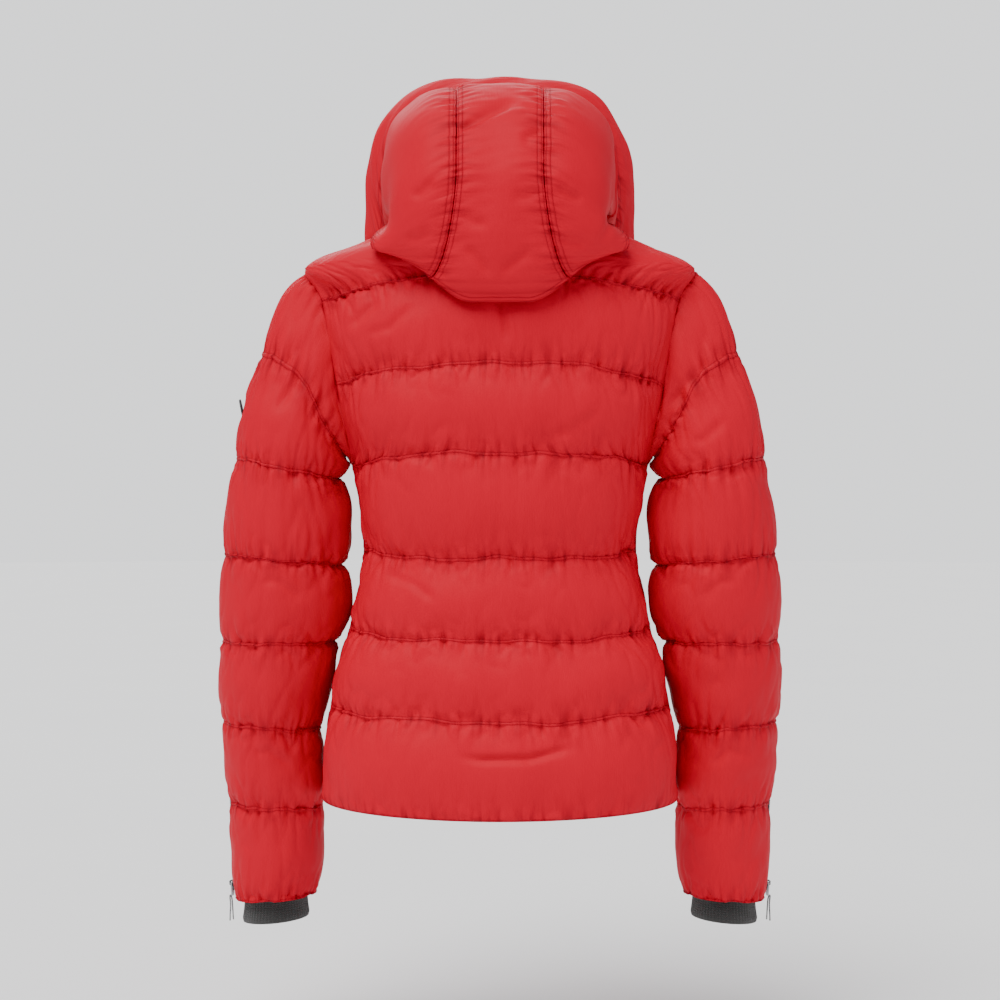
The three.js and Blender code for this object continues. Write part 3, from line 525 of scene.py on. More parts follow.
# ---- Quilted panels ----
class Panel:
    """A cut piece of cloth on an even grid, with the lines it is sewn down along."""

    def __init__(self, name, surface, facing, sides, rows, per_line, columns, ring=False, lift=1.0, seed=0):
        self.name = name
        self.surface = surface
        self.facing = facing
        self.sides = sides
        self.rows = rows
        self.per_line = per_line
        self.columns = columns
        self.ring = ring
        self.lift = lift
        self.seed = seed
        self.movement = None

    def grid(self, finer=1):
        """Angles, lines and shares of the grid; finer is 2 for the finished cloth."""
        first, last = self.rows
        count = int(round((last - first) * self.per_line)) * finer
        t = np.linspace(first, last, count + 1)
        columns = self.columns * finer
        share = np.arange(columns) / columns if self.ring else np.linspace(0, 1, columns + 1)
        tt, uu = np.meshgrid(t, share, indexing="ij")
        inside = np.clip(tt, first + SEAM_HALF, last - SEAM_HALF)
        low, high = self.sides(inside)
        angle = mix(low, high, uu)
        return angle, inside + (wobble(angle, tt) if not self.ring else 0.5 * wobble(angle, tt)), tt, uu

    def base(self, finer=1):
        """The sewn surface and its outward normals."""
        angle, t, _, _ = self.grid(finer)
        points = self.surface(angle, t)
        return points, outward(self.surface, angle, t, self.facing)

    def sewn(self, finer=1):
        """True on the quilting lines and on the panel's own edges."""
        marks = np.zeros(self.grid(finer)[0].shape, bool)
        marks[:: self.per_line * finer] = True
        marks[[0, -1]] = True
        if not self.ring:
            marks[:, :2] = True
            marks[:, -2:] = True
        return marks

    def fade(self, finer=1):
        """0 at the side edges, 1 inside them."""
        uu = self.grid(finer)[3]
        return np.ones(uu.shape) if self.ring else smooth(np.minimum(uu, 1 - uu) / 0.08)

    def rise(self, finer=1):
        """The height of a channel between its lines: half a sine wave, a little flattened."""
        _, _, tt, _ = self.grid(finer)
        return np.abs(np.sin(math.pi * (tt - self.rows[0]))) ** 0.7

    def maps(self, finer, step):
        """The cloth's own coordinates, and the place along and off the nearest sewn line, in metres."""
        points, _ = self.base(finer)
        _, _, tt, uu = self.grid(finer)
        across = self.width(points) * uu * MM
        down = np.linalg.norm(np.diff(points, axis=0), axis=-1).mean(1)
        run = np.concatenate([[0], np.cumsum(down)]) * MM
        first, last = self.rows
        pitch = run[-1] / (last - first)
        lines = self.line_places()
        away = np.abs(tt[..., None] - lines).min(-1) * pitch
        cloth = np.stack([across, np.broadcast_to(run[:, None], across.shape)], -1)
        return {"cloth": both_layers(cloth, step), "seam": both_layers(np.stack([across, away], -1), step)}

    def width(self, points):
        """The mean length across the panel, right round where it is a tube."""
        ends = np.concatenate([points, points[:, :1]], 1) if self.ring else points
        return np.linalg.norm(np.diff(ends, axis=1), axis=-1).sum(1).mean()

    def line_places(self):
        """Where the sewn lines are."""
        first, last = self.rows
        return np.arange(first, last + 0.5)


class WidePanel(Panel):
    """A panel sewn only round its edges, such as the yoke."""

    def sewn(self, finer=1):
        marks = super().sewn(finer)
        marks[1:-1, 2:-2] = False
        return marks

    def rise(self, finer=1):
        _, _, tt, _ = self.grid(finer)
        first, last = self.rows
        return np.sin(math.pi * (tt - first) / (last - first)) ** 0.7

    def line_places(self):
        """The rows that are sewn: the two edges."""
        return np.array(self.rows, float)


def back_sides(t):
    """The two side edges of the back, as angles."""
    side = math.pi / 2 - side_edge(t)
    return -side, side


def front_sides(hand):
    """The side and zip edges of one front, as a function of the row."""
    def sides(t):
        low, high = math.pi / 2 + side_edge(t), zip_edge(t)
        return (low, high) if hand > 0 else (-high, -low)

    return sides


def round_sides(_):
    """Once round the arm."""
    return 0, 2 * math.pi


def mirrored_sleeve(angle, t):
    """The wearer's right sleeve."""
    return sleeve(angle, t) * np.array([-1, 1, 1])


def quilted_panels():
    """Every panel that is swollen in the cloth run."""
    panels = [
        Panel("back_quilting", body, 1, back_sides, (0, YOKE_SEAM), 20, 116, lift=0.85, seed=11),
        WidePanel("back_yoke_quilting", body, 1, back_sides, (YOKE_SEAM, NECK), 12, 116, lift=0.8, seed=12),
    ]
    for side, hand in HANDS:
        facing = -hand
        surface = sleeve if hand > 0 else mirrored_sleeve
        panels += [
            Panel(f"front_quilting_{side}", body, 1, front_sides(hand), (0, 6), 20, 60, False, 0.8, 20 + hand),
            WidePanel(
                f"front_yoke_quilting_{side}", body, 1, front_sides(hand), (6, 9), 12, 60, False, 0.7, 30 + hand
            ),
            Panel(
                f"sleeve_head_quilting_{side}", surface, facing, round_sides, (0, HEAD_END), 24, 92, True, 0.6,
                40 + hand,
            ),
            Panel(
                f"sleeve_quilting_{side}", surface, facing, round_sides, (HEAD_END, SLEEVE_HEM), 24, 92, True, 0.62,
                50 + hand,
            ),
        ]
    return {panel.name: panel for panel in panels}


def swell(panels, sizes):
    """One cloth run over all the panels: pinned along every sewn line, a little too large, and blown up.

    Each panel starts a few millimetres proud of its surface with a small seeded roughness, so that the spare
    cloth gathers into short folds at the lines. Every panel then keeps how far each point moved.
    """
    starts, sewn, faces, count = [], [], [], 0
    for panel in panels:
        points, normals = panel.base()
        noise = np.random.default_rng(panel.seed).normal(0, 0.35, points.shape[:2])
        proud = sizes.start_puff / MM * panel.rise() + noise
        points = points + normals * (proud * panel.fade() * ~panel.sewn())[..., None]
        quads = grid_faces(*points.shape[:2], panel.ring)
        faces.append((quads if panel.facing > 0 else quads[:, ::-1]) + count)
        starts.append(points.reshape(-1, 3))
        sewn.append(panel.sewn().ravel())
        count += len(starts[-1])
    cloth = make_piece("cloth_run", np.vstack(starts), faces, None)
    pins = cloth.vertex_groups.new(name="sewn")
    pins.add(np.flatnonzero(np.concatenate(sewn)).tolist(), 1, "REPLACE")
    modifier = cloth.modifiers.new("cloth", "CLOTH")
    rules = modifier.settings
    rules.quality = 5
    rules.mass = 0.3
    rules.tension_stiffness = rules.compression_stiffness = 15
    rules.shear_stiffness = 4.5
    rules.bending_stiffness = sizes.stiffness
    rules.tension_damping = rules.compression_damping = rules.shear_damping = 5
    rules.bending_damping = 0.5
    rules.air_damping = 1
    rules.use_pressure = True
    rules.uniform_pressure_force = sizes.pressure
    rules.shrink_min = -sizes.spare_cloth
    rules.vertex_group_mass = "sewn"
    rules.pin_stiffness = 1
    rules.effector_weights.gravity = 0
    modifier.collision_settings.use_collision = False
    modifier.collision_settings.use_self_collision = False
    scene = bpy.context.scene
    modifier.point_cache.frame_start = scene.frame_start = 1
    modifier.point_cache.frame_end = scene.frame_end = sizes.frames
    for step in range(1, sizes.frames + 1):
        scene.frame_set(step)
    settled = cloth.evaluated_get(bpy.context.evaluated_depsgraph_get())
    ends = np.zeros(count * 3, np.float32)
    settled.data.vertices.foreach_get("co", ends)
    ends = ends.reshape(-1, 3) / MM
    first = 0
    for panel in panels:
        points, normals = panel.base()
        size = points.shape[0] * points.shape[1]
        moved = ends[first : first + size].reshape(points.shape) - points
        first += size
        height = (moved * normals).sum(-1, keepdims=True)
        slide = moved - normals * height
        slide *= np.minimum(1, 4 / np.maximum(np.linalg.norm(slide, axis=-1, keepdims=True), 1e-6))
        panel.movement = normals * np.clip(height, -0.5, 1.6 * PUFF) + slide
    mesh = cloth.data
    bpy.data.objects.remove(cloth)
    bpy.data.meshes.remove(mesh)
    scene.frame_set(1)


def doubled(field, axis, ring):
    """Puts a value between each two: nine sixteenths of the two nearest less a sixteenth of the next two."""
    f = np.moveaxis(field, axis, 0)
    if ring:
        between = (9 * (f + np.roll(f, -1, 0)) - np.roll(f, 1, 0) - np.roll(f, -2, 0)) / 16
    else:
        wide = np.concatenate([2 * f[:1] - f[1:2], f, 2 * f[-1:] - f[-2:-1]])
        between = (9 * (wide[1:-2] + wide[2:-1]) - wide[:-3] - wide[3:]) / 16
    out = np.empty((len(f) + len(between),) + f.shape[1:])
    out[0::2] = f
    out[1::2] = between
    return np.moveaxis(out, 0, axis)


def softened(field, ring, rounds):
    """The field after rounds of averaging each point with its four neighbours."""
    for _ in range(rounds):
        beside = np.roll(field, 1, 1) + np.roll(field, -1, 1)
        if not ring:
            beside[:, 0], beside[:, -1] = 2 * field[:, 0], 2 * field[:, -1]
        above = np.concatenate([field[:1], field[:-1]]) + np.concatenate([field[1:], field[-1:]])
        field = (2 * field + beside + above) / 6
    return field


def swollen(panel):
    """The panel's finished outer points on the finer grid, and its sewn surface with normals.

    The middle of a channel is drawn smooth by its padding, so it takes the softened movement, and short
    sharp gathers run out of the sewn lines, deepest towards the panel's ends.
    """
    points, normals = panel.base(2)
    _, _, tt, uu = panel.grid(2)
    down = np.linalg.norm(np.diff(points, axis=0), axis=-1).mean() * 2 * panel.per_line
    away = np.abs(tt[..., None] - panel.line_places()).min(-1) * down
    near = np.exp(-((away[::2, ::2] / 13) ** 2))[..., None]
    movement = mix(softened(panel.movement, panel.ring, 14), panel.movement, near)
    movement = doubled(doubled(movement, 0, False), 1, panel.ring) * panel.lift
    angle, _, _, _ = panel.grid(2)
    if panel.ring:
        # The inner side of the arm is fuller, where it rests against the body.
        high = smooth((tt - 1) / 0.8) * (1 - smooth((tt - 3.6) / 1.2))
        movement *= (1 + 1.9 * np.maximum(0, -np.sin(angle)) ** 2 * high)[..., None]
    across = uu * panel.width(points)
    ends = 0.6 + 1.1 * np.abs(2 * uu - 1) ** 2.5 if not panel.ring else 0.8 + 0.2 * np.cos(2 * angle)
    shape = np.zeros(away.shape)
    for seed, length, reach in ((1, 15, 15), (2, 9, 8), (3, 24, 24)):
        fold = waves(panel.seed * 7 + seed, across, tt * down * 0.35, 9, length * 0.7, length * 1.5)
        shape += 0.2 * length * (np.minimum(np.abs(fold), 1) - 1) * np.exp(-away / reach)
    if panel.ring:
        # The two ends of the pattern are faded together at the seam along the arm.
        shape *= 1 - np.exp(-((np.minimum(uu, 1 - uu) / 0.02) ** 2))
    else:
        # The hem hangs nearly straight.
        shape *= 0.2 + 0.8 * smooth(tt / 0.7)
    shape *= ends * (1 - np.exp(-away / 1.5)) * panel.fade(2)
    return points + movement + normals * shape[..., None], points, normals


def pressed(outer, points, normals, where, half_width, half_length, hand):
    """Draws the cloth in under a zip, to just behind its tape."""
    axes, origin = where
    local = (points * np.array([hand, 1, 1]) - origin) @ axes
    into = (normals * np.array([hand, 1, 1]) @ axes)[..., 1]
    height = ((outer - points) * normals).sum(-1)
    wanted = (GAP + TAPE_THICKNESS + 0.9 - local[..., 1]) / np.minimum(into, -0.3)
    beside = smooth((np.abs(local[..., 0]) - half_width) / 7)
    beyond = smooth((np.abs(local[..., 2]) - half_length) / 7)
    facing_it = smooth((20 - np.abs(local[..., 1])) / 5)
    keep = 1 - (1 - beside) * (1 - beyond) * facing_it
    lower = np.minimum(mix(wanted, height, keep), height)
    return outer + normals * (lower - height)[..., None]


def quilt_piece(panel, outer, points, normals, finish, inset=WADDING_INSET, step=8):
    """The padded body between the swollen cloth and the padding's inner face."""
    # The back of the padding is a coarse grid, and stays clear of the cloth where that is pressed in.
    height = ((outer - points) * normals).sum(-1, keepdims=True)
    inner = points + normals * np.minimum(-inset, height - 2.5)
    shape, faces = closed_sheet(outer, inner, panel.ring, panel.facing, step)
    around = panel.width(points) * MM if panel.ring else 0
    return make_piece(panel.name, shape, faces, finish, panel.maps(2, step), around=around)


# ---- Finishes ----
class Value:
    """A socket in a finish's nodes, so that maths on it reads as ordinary Python."""

    def __init__(self, finish, socket):
        self.finish = finish
        self.socket = socket

    def _maths(self, operation, a, b=None):
        inputs = {0: a} if b is None else {0: a, 1: b}
        return self.finish.node("ShaderNodeMath", {"operation": operation}, inputs)

    def __add__(self, other): return self._maths("ADD", self, other)
    def __radd__(self, other): return self._maths("ADD", other, self)
    def __sub__(self, other): return self._maths("SUBTRACT", self, other)
    def __rsub__(self, other): return self._maths("SUBTRACT", other, self)
    def __mul__(self, other): return self._maths("MULTIPLY", self, other)
    def __rmul__(self, other): return self._maths("MULTIPLY", other, self)
    def __truediv__(self, other): return self._maths("DIVIDE", self, other)
    def __pow__(self, other): return self._maths("POWER", self, other)
    def __neg__(self): return self._maths("MULTIPLY", self, -1)
    def __abs__(self): return self._maths("ABSOLUTE", self)
    def sine(self): return self._maths("SINE", self)
    def exp(self): return self._maths("EXPONENT", self)
    def below(self, other): return self._maths("LESS_THAN", self, other)
    def fraction(self): return self._maths("FRACT", self)
    def at_least(self, other): return self._maths("MAXIMUM", self, other)
    def at_most(self, other): return self._maths("MINIMUM", self, other)


class Finish:
    """One material, built from its nodes in the order they are asked for."""

    def __init__(self, name):
        self.material = bpy.data.materials.new(name)
        self.material.use_nodes = True
        self.tree = self.material.node_tree
        self.tree.nodes.clear()
        self.shader = self.tree.nodes.new("ShaderNodeBsdfPrincipled")
        output = self.tree.nodes.new("ShaderNodeOutputMaterial")
        self.tree.links.new(self.shader.outputs[0], output.inputs[0])
        self.heights = []

    def node(self, kind, settings=None, inputs=None, output=0):
        """Adds a node: its settings first, then a value or a link for each socket named or numbered."""
        node = self.tree.nodes.new(kind)
        for key, value in (settings or {}).items():
            setattr(node, key, value)
        for key, value in (inputs or {}).items():
            self.set(node.inputs[key], value)
        return Value(self, node.outputs[output])

    def set(self, socket, value):
        """Links a Value to a socket, or writes a plain value on it."""
        if isinstance(value, Value):
            self.tree.links.new(value.socket, socket)
        else:
            socket.default_value = value

    def feed(self, **sockets):
        """Sets the shader's own sockets; underscores stand for spaces."""
        for key, value in sockets.items():
            self.set(self.shader.inputs[key.replace("_", " ")], value)

    def place(self):
        """The jacket's own coordinates, in metres."""
        return self.node("ShaderNodeTexCoord", output="Object")

    def map(self, name):
        """Two coordinates of one of the piece's own maps."""
        point = self.node("ShaderNodeUVMap", {"uv_map": name})
        return self.parts(point)

    def parts(self, vector):
        """The x, y and z of a vector."""
        split = self.tree.nodes.new("ShaderNodeSeparateXYZ")
        self.set(split.inputs[0], vector)
        return [Value(self, split.outputs[i]) for i in range(3)]

    def point(self, x, y, z=0.0):
        """A vector from its three parts."""
        return self.node("ShaderNodeCombineXYZ", None, {0: x, 1: y, 2: z})

    def noise(self, vector, scale, detail=3.0, distortion=0.0):
        """Cloudy noise about a half."""
        inputs = {"Vector": vector, "Scale": scale, "Detail": detail, "Distortion": distortion}
        return self.node("ShaderNodeTexNoise", None, inputs)

    def blend(self, share, a, b):
        """A colour between two colours."""
        settings = {"data_type": "RGBA", "clamp_factor": True}
        return self.node("ShaderNodeMix", settings, {0: share, 6: a, 7: b}, 2)

    def bump(self, height, distance, strength=1.0):
        """Adds relief on top of the relief so far."""
        inputs = {"Height": height, "Distance": distance, "Strength": strength}
        if self.heights:
            inputs["Normal"] = self.heights[-1]
        self.heights.append(self.node("ShaderNodeBump", None, inputs))

    def done(self):
        """Joins the relief to the shader and gives the material."""
        if self.heights:
            self.feed(Normal=self.heights[-1])
        return self.material


def shade(colour, amount):
    """A colour times a number, with full alpha."""
    return (*(min(1, c * amount) for c in colour[:3]), 1)


def red_shell(colours, name="red_shell", rows=(0.0016,), pucker=1.0, depth=0.3):
    """Satin woven polyester: fine ribs, cloudy tone, gathers and stitches along the sewn lines, and painted shade in
    the gathers' hollows and along the sewn lines.
    """
    m = Finish(name)
    u, v, _ = m.map("cloth")
    along, away, _ = m.map("seam")
    place = m.place()
    cloud = m.noise(place, 9.0, 3.0)
    grain = m.noise(m.point(u * 1100, v * 60), 1.0, 2.0)
    seam_groove_and_shade = 0
    stitches = 0
    for offset in rows:
        near = (abs(away - offset) * -1500).exp()
        on_line = abs(away - offset).below(0.0004) * (along / 0.0034).fraction().below(0.68)
        seam_groove_and_shade = near + seam_groove_and_shade
        stitches = on_line + stitches
    gathers = m.noise(m.point(along * 130, away * 22), 1.0, 2.0, 0.3)
    beside = (away * -110).exp()
    base = m.blend(cloud, shade(colours.shell, 0.95), shade(colours.shell, 1.05))
    base = m.blend(grain * 0.22, base, shade(colours.shell, 0.74))
    # Painted shade: the colour is darkened towards the fold colour in the hollows of the gathers beside the sewn
    # lines.
    painted_fold_shade = ((0.52 - gathers) * beside * 5 * pucker).at_most(0.75)
    base = m.blend(painted_fold_shade, base, colours.shell_shadow)
    # Painted shade: the colour is darkened towards the fold colour along each sewn line.
    base = m.blend((seam_groove_and_shade * depth).at_most(0.7), base, colours.shell_shadow)
    base = m.blend(stitches * depth, base, colours.thread)
    m.feed(Base_Color=base, Roughness=0.5 + cloud * 0.1 + grain * 0.08 + stitches * 0.1)
    m.feed(Specular_IOR_Level=0.1)
    m.bump(m.noise(place, 22.0, 3.0, 0.3), 0.002, 0.35)
    m.bump(gathers * beside, 0.0036 * pucker, 0.9)
    m.bump(seam_groove_and_shade * -1, 0.0009, 0.7)
    m.bump((u * 4200).sine() * 0.5 + (v * 4200).sine() * 0.25 + grain + stitches * 2, 0.00007, 0.6)
    return m.done()


def lining_cloth(colours):
    """Thin plain lining, softly creased."""
    m = Finish("dark_lining")
    place = m.place()
    x, y, z = m.parts(place)
    cloud = m.noise(place, 12.0, 4.0)
    base = m.blend(cloud, shade(colours.lining, 0.8), shade(colours.lining, 1.2))
    m.feed(Base_Color=base, Roughness=0.45 + cloud * 0.15, Specular_IOR_Level=0.35)
    m.bump(m.noise(m.point(x * 30, y * 30, z * 9), 1.0, 4.0, 0.6), 0.004, 0.6)
    m.bump((z * 5200).sine() + (x * 5200).sine(), 0.00005, 0.5)
    return m.done()


def rib_knit(colours):
    """Knitted ribs: each wale is a column of small loops."""
    m = Finish("rib_knit")
    u, v, _ = m.map("cloth")
    fuzz = m.noise(m.place(), 900.0, 2.0)
    loops = (abs((u * 3140).sine()) * 0.5 + (v * 2600 + (u * 3140).sine() * 1.2).sine() * 0.5)
    # Painted light and shade: the knit is lighter on the raised loops and darker between them; the fuzz is a random
    # tone.
    base = m.blend(loops * 0.5 + fuzz * 0.4, shade(colours.knit, 0.5), shade(colours.knit, 1.7))
    m.feed(Base_Color=base, Roughness=0.82 + fuzz * 0.12, Specular_IOR_Level=0.2)
    m.feed(Sheen_Weight=0.25, Sheen_Roughness=0.6)
    m.bump(loops, 0.0007, 0.8)
    m.bump(fuzz, 0.0003, 0.5)
    return m.done()


def woven_tape(colours):
    """Zip tape: a fine herringbone with a thicker edge thread."""
    m = Finish("zip_tape")
    u, v, _ = m.map("cloth")
    slant = (v * 2500 + abs((u * 700).sine()) * 3).sine()
    # Painted light and shade: the tape is lighter on the raised twill and darker between it.
    base = m.blend(slant * 0.5 + 0.5, shade(colours.tape, 0.6), shade(colours.tape, 1.6))
    m.feed(Base_Color=base, Roughness=0.7 + slant * 0.08, Specular_IOR_Level=0.25)
    m.bump(slant, 0.00025, 0.8)
    return m.done()


def moulded_teeth(colours):
    """Dark nylon of the zip's coil, shinier on its worn tops."""
    m = Finish("zip_coil")
    worn = m.noise(m.place(), 320.0, 2.0)
    base = m.blend(worn, shade(colours.tape, 0.9), shade(colours.tape, 2.4))
    m.feed(Base_Color=base, Roughness=0.28 + worn * 0.2, Specular_IOR_Level=0.5)
    m.bump(worn, 0.0001, 0.5)
    return m.done()


def enamelled_metal(colours):
    """Black enamel on a zip slider, thin and bright where it rubs."""
    m = Finish("slider_enamel")
    place = m.place()
    rubbed = (m.noise(place, 260.0, 4.0) - 0.56).at_least(0) * 5
    base = m.blend(rubbed.at_most(1), colours.enamel, colours.steel)
    m.feed(Base_Color=base, Metallic=0.55 + rubbed.at_most(0.45), Roughness=0.3 + rubbed * 0.2)
    m.bump(m.noise(place, 900.0, 2.0), 0.00008, 0.4)
    return m.done()


def brushed_steel(colours):
    """Cast zip pull: dull steel with fine brushing along it."""
    m = Finish("pull_steel")
    place = m.place()
    x, y, z = m.parts(place)
    brush = m.noise(m.point(x * 2600, y * 2600, z * 130), 1.0, 3.0)
    tarnish = m.noise(place, 120.0, 3.0)
    base = m.blend(tarnish, shade(colours.steel, 0.62), shade(colours.steel, 1.05))
    m.feed(Base_Color=base, Metallic=1.0, Roughness=0.26 + brush * 0.16 + tarnish * 0.1)
    m.bump(brush, 0.00006, 0.5)
    return m.done()


def flecked_cord(colours):
    """Braided cord with darker flecks that wind round it."""
    m = Finish("cord_braid")
    u, v, _ = m.map("cloth")
    braid = (u * 6.283 * 2 + v * 2600).sine() * (u * 6.283 * 2 - v * 2600).sine()
    fleck = (m.noise(m.point(u * 3, v * 420), 1.0, 1.0) - 0.52).at_least(0) * 9
    # Painted light and shade: the cord is lighter on the raised braid and darker between it; the flecks are the cord's
    # own colour.
    base = m.blend(braid * 0.5 + 0.5, shade(colours.cord, 0.62), shade(colours.cord, 1.15))
    base = m.blend(fleck.at_most(0.8), base, shade(colours.cord, 0.16))
    m.feed(Base_Color=base, Roughness=0.72 + braid * 0.08, Specular_IOR_Level=0.3)
    m.bump(braid, 0.00022, 0.9)
    return m.done()


def moulded_badge(colours):
    """Soft black rubber of the arm patch, finely pebbled."""
    m = Finish("badge_rubber")
    place = m.place()
    pebbles = m.noise(place, 900.0, 3.0)
    base = m.blend(m.noise(place, 90.0), shade(colours.badge, 0.7), shade(colours.badge, 1.5))
    m.feed(Base_Color=base, Roughness=0.5 + pebbles * 0.2, Specular_IOR_Level=0.4)
    m.bump(pebbles, 0.00015, 0.6)
    return m.done()


FINISHES = {
    "shell": red_shell,
    "lining": lining_cloth,
    "knit": rib_knit,
    "tape": woven_tape,
    "coil": moulded_teeth,
    "enamel": enamelled_metal,
    "steel": brushed_steel,
    "cord": flecked_cord,
    "badge": moulded_badge,
}
made = {}


def finish(name):
    """The named material, made the first time that it is asked for."""
    if name not in made:
        colours = bpy.context.scene.jacket_colours
        if name == "hood":
            # The hood's shell: two sewn lines, with stronger gathers and stronger painted shade in them and along the
            # seams.
            made[name] = red_shell(colours, "red_hood_shell", (0.0018, 0.0062), 1.3, 0.42)
        else:
            made[name] = FINISHES[name](colours)
    return made[name]


# ---- What a user would change ----
class JacketSizes(bpy.types.PropertyGroup):
    """How the padding swells and how finely the cloth is cut."""

    start_puff: FloatProperty(
        name="Starting puff", description="How proud of its lines a channel starts", default=0.005, unit="LENGTH"
    )
    spare_cloth: FloatProperty(
        name="Spare cloth", description="How much too large the shell is cut, as a share", default=0.05, subtype="FACTOR"
    )
    pressure: FloatProperty(name="Padding pressure", description="How hard the padding pushes out", default=4.0)
    stiffness: FloatProperty(name="Stiffness", description="How much the shell resists folding", default=1.2)
    frames: IntProperty(name="Settling steps", description="Steps for which the cloth settles", default=20)
    tooth_pitch: FloatProperty(
        name="Tooth pitch", description="From one zip tooth to the next", default=0.0016, unit="LENGTH"
    )


def colour(name, description, value):
    """A colour setting."""
    return FloatVectorProperty(
        name=name, description=description, size=4, min=0, max=1, default=value, subtype="COLOR"
    )


class JacketColours(bpy.types.PropertyGroup):
    """The colours of the cloths, threads, metals and cord."""

    shell: colour("Shell", "The red of the shell", (0.58, 0.0002, 0.019, 1))
    # A painted shade colour: the shell is darkened towards it in the gathers' hollows and along the sewn lines.
    shell_shadow: colour("Shell painted shade", "The shell in the bottom of a seam", (0.21, 0.0003, 0.006, 1))
    thread: colour("Thread", "The sewing thread", (0.36, 0.002, 0.012, 1))
    lining: colour("Lining", "The lining", (0.13, 0.010, 0.016, 1))
    knit: colour("Knit", "The knitted cuffs", (0.028, 0.027, 0.026, 1))
    tape: colour("Tape", "Zip tape and coil", (0.018, 0.017, 0.018, 1))
    enamel: colour("Enamel", "The zip sliders", (0.012, 0.012, 0.013, 1))
    steel: colour("Steel", "The zip pulls", (0.42, 0.43, 0.45, 1))
    cord: colour("Cord", "The pull cords", (0.34, 0.34, 0.35, 1))
    badge: colour("Patch", "The arm patch", (0.014, 0.014, 0.015, 1))


class JacketStage(bpy.types.PropertyGroup):
    """Where the camera stands and how the studio is lit."""

    distance: FloatProperty(name="Distance", description="Camera to jacket", default=2.4, unit="LENGTH")
    eye_level: FloatProperty(name="Eye level", description="Height of the camera", default=-0.225, unit="LENGTH")
    across: FloatProperty(name="Across", description="Camera to the wearer's left", default=0.0, unit="LENGTH")
    lens: FloatProperty(name="Lens", description="Focal length", default=82.3, unit="CAMERA")
    shift: FloatProperty(name="Shift", description="Rise of the picture's middle, as a share", default=-0.041)
    floor: FloatProperty(name="Floor", description="Height of the floor", default=-0.86, unit="LENGTH")
    key: FloatProperty(name="Main light", description="Strength of the main light", default=3.5)
    fill: FloatProperty(name="Side light", description="Strength of the side light", default=0.35)
    front: FloatProperty(name="Front light", description="Strength of the light on the front", default=1.5)
    softness: FloatProperty(
        name="Softness", description="How broad each light is", default=40 * DEGREES, subtype="ANGLE"
    )
    backdrop: FloatProperty(name="Backdrop", description="Brightness of the backdrop", default=1.45)
    sky: FloatProperty(name="Room light", description="Strength of the light from all round", default=0.42)


# ---- Making ----
class JACKET_OT_stage(bpy.types.Operator):
    """Sets the camera behind the jacket, with a pale floor and soft studio light"""

    bl_idname = "jacket.stage"
    bl_label = "Camera, floor and light"

    def execute(self, context):
        stage = context.scene.jacket_stage
        camera = bpy.data.objects.new("camera", bpy.data.cameras.new("camera"))
        context.scene.collection.objects.link(camera)
        camera.location = (stage.across, stage.distance, stage.eye_level)
        camera.rotation_euler = (math.pi / 2, 0, math.pi)
        camera.data.lens = stage.lens
        camera.data.sensor_width = 36
        camera.data.shift_y = stage.shift
        context.scene.camera = camera
        self.floor(stage)
        self.lights(stage)
        return {"FINISHED"}

    def floor(self, stage):
        """A round floor: rings of points on circles, wider apart as they go out."""
        radius = np.array([0.4, 1.5, 4, 12]) / MM
        turn = np.arange(48) * 2 * math.pi / 48
        points = vec(np.outer(radius, np.cos(turn)), np.outer(radius, np.sin(turn)), stage.floor / MM)
        middle = [[0, 0, stage.floor / MM]]
        count = points.shape[0] * points.shape[1]
        inner = np.stack([np.full(48, count), np.arange(48), (np.arange(48) + 1) % 48], -1)
        m = Finish("studio_floor")
        cloud = m.noise(m.place(), 3.0, 2.0)
        base = m.blend(cloud, (0.86, 0.86, 0.87, 1), (0.9, 0.9, 0.9, 1))
        m.feed(Base_Color=base, Roughness=0.8 + cloud * 0.1)
        faces = [grid_faces(4, 48, True), inner]
        make_piece("studio_floor", np.vstack([points.reshape(-1, 3), middle]), faces, m.done())

    def lights(self, stage):
        """A broad main light from above, a second on each side, and an even pale room."""
        for name, place, power in (
            ("main_light", (0.8, 1.35, 2.6), stage.key),
            ("side_light", (-1.9, 0.5, 0.8), stage.fill),
            ("front_light", (0.5, -2.2, 1.6), stage.front),
        ):
            light = bpy.data.objects.new(name, bpy.data.lights.new(name, "SUN"))
            bpy.context.scene.collection.objects.link(light)
            light.location = place
            light.data.energy = power
            light.data.angle = stage.softness
            light.rotation_euler = (-Vector(place)).to_track_quat("-Z", "Y").to_euler()
        world = bpy.context.scene.world or bpy.data.worlds.new("studio")
        bpy.context.scene.world = world
        world.use_nodes = True
        tree = world.node_tree
        background = tree.nodes["Background"]
        background.inputs[0].default_value = (0.98, 0.985, 1, 1)
        # The backdrop is shown brighter than the light that it gives.
        seen = tree.nodes.new("ShaderNodeLightPath")
        level = tree.nodes.new("ShaderNodeMix")
        level.inputs[2].default_value = stage.sky
        level.inputs[3].default_value = stage.backdrop
        tree.links.new(seen.outputs["Is Camera Ray"], level.inputs[0])
        tree.links.new(level.outputs[0], background.inputs[1])


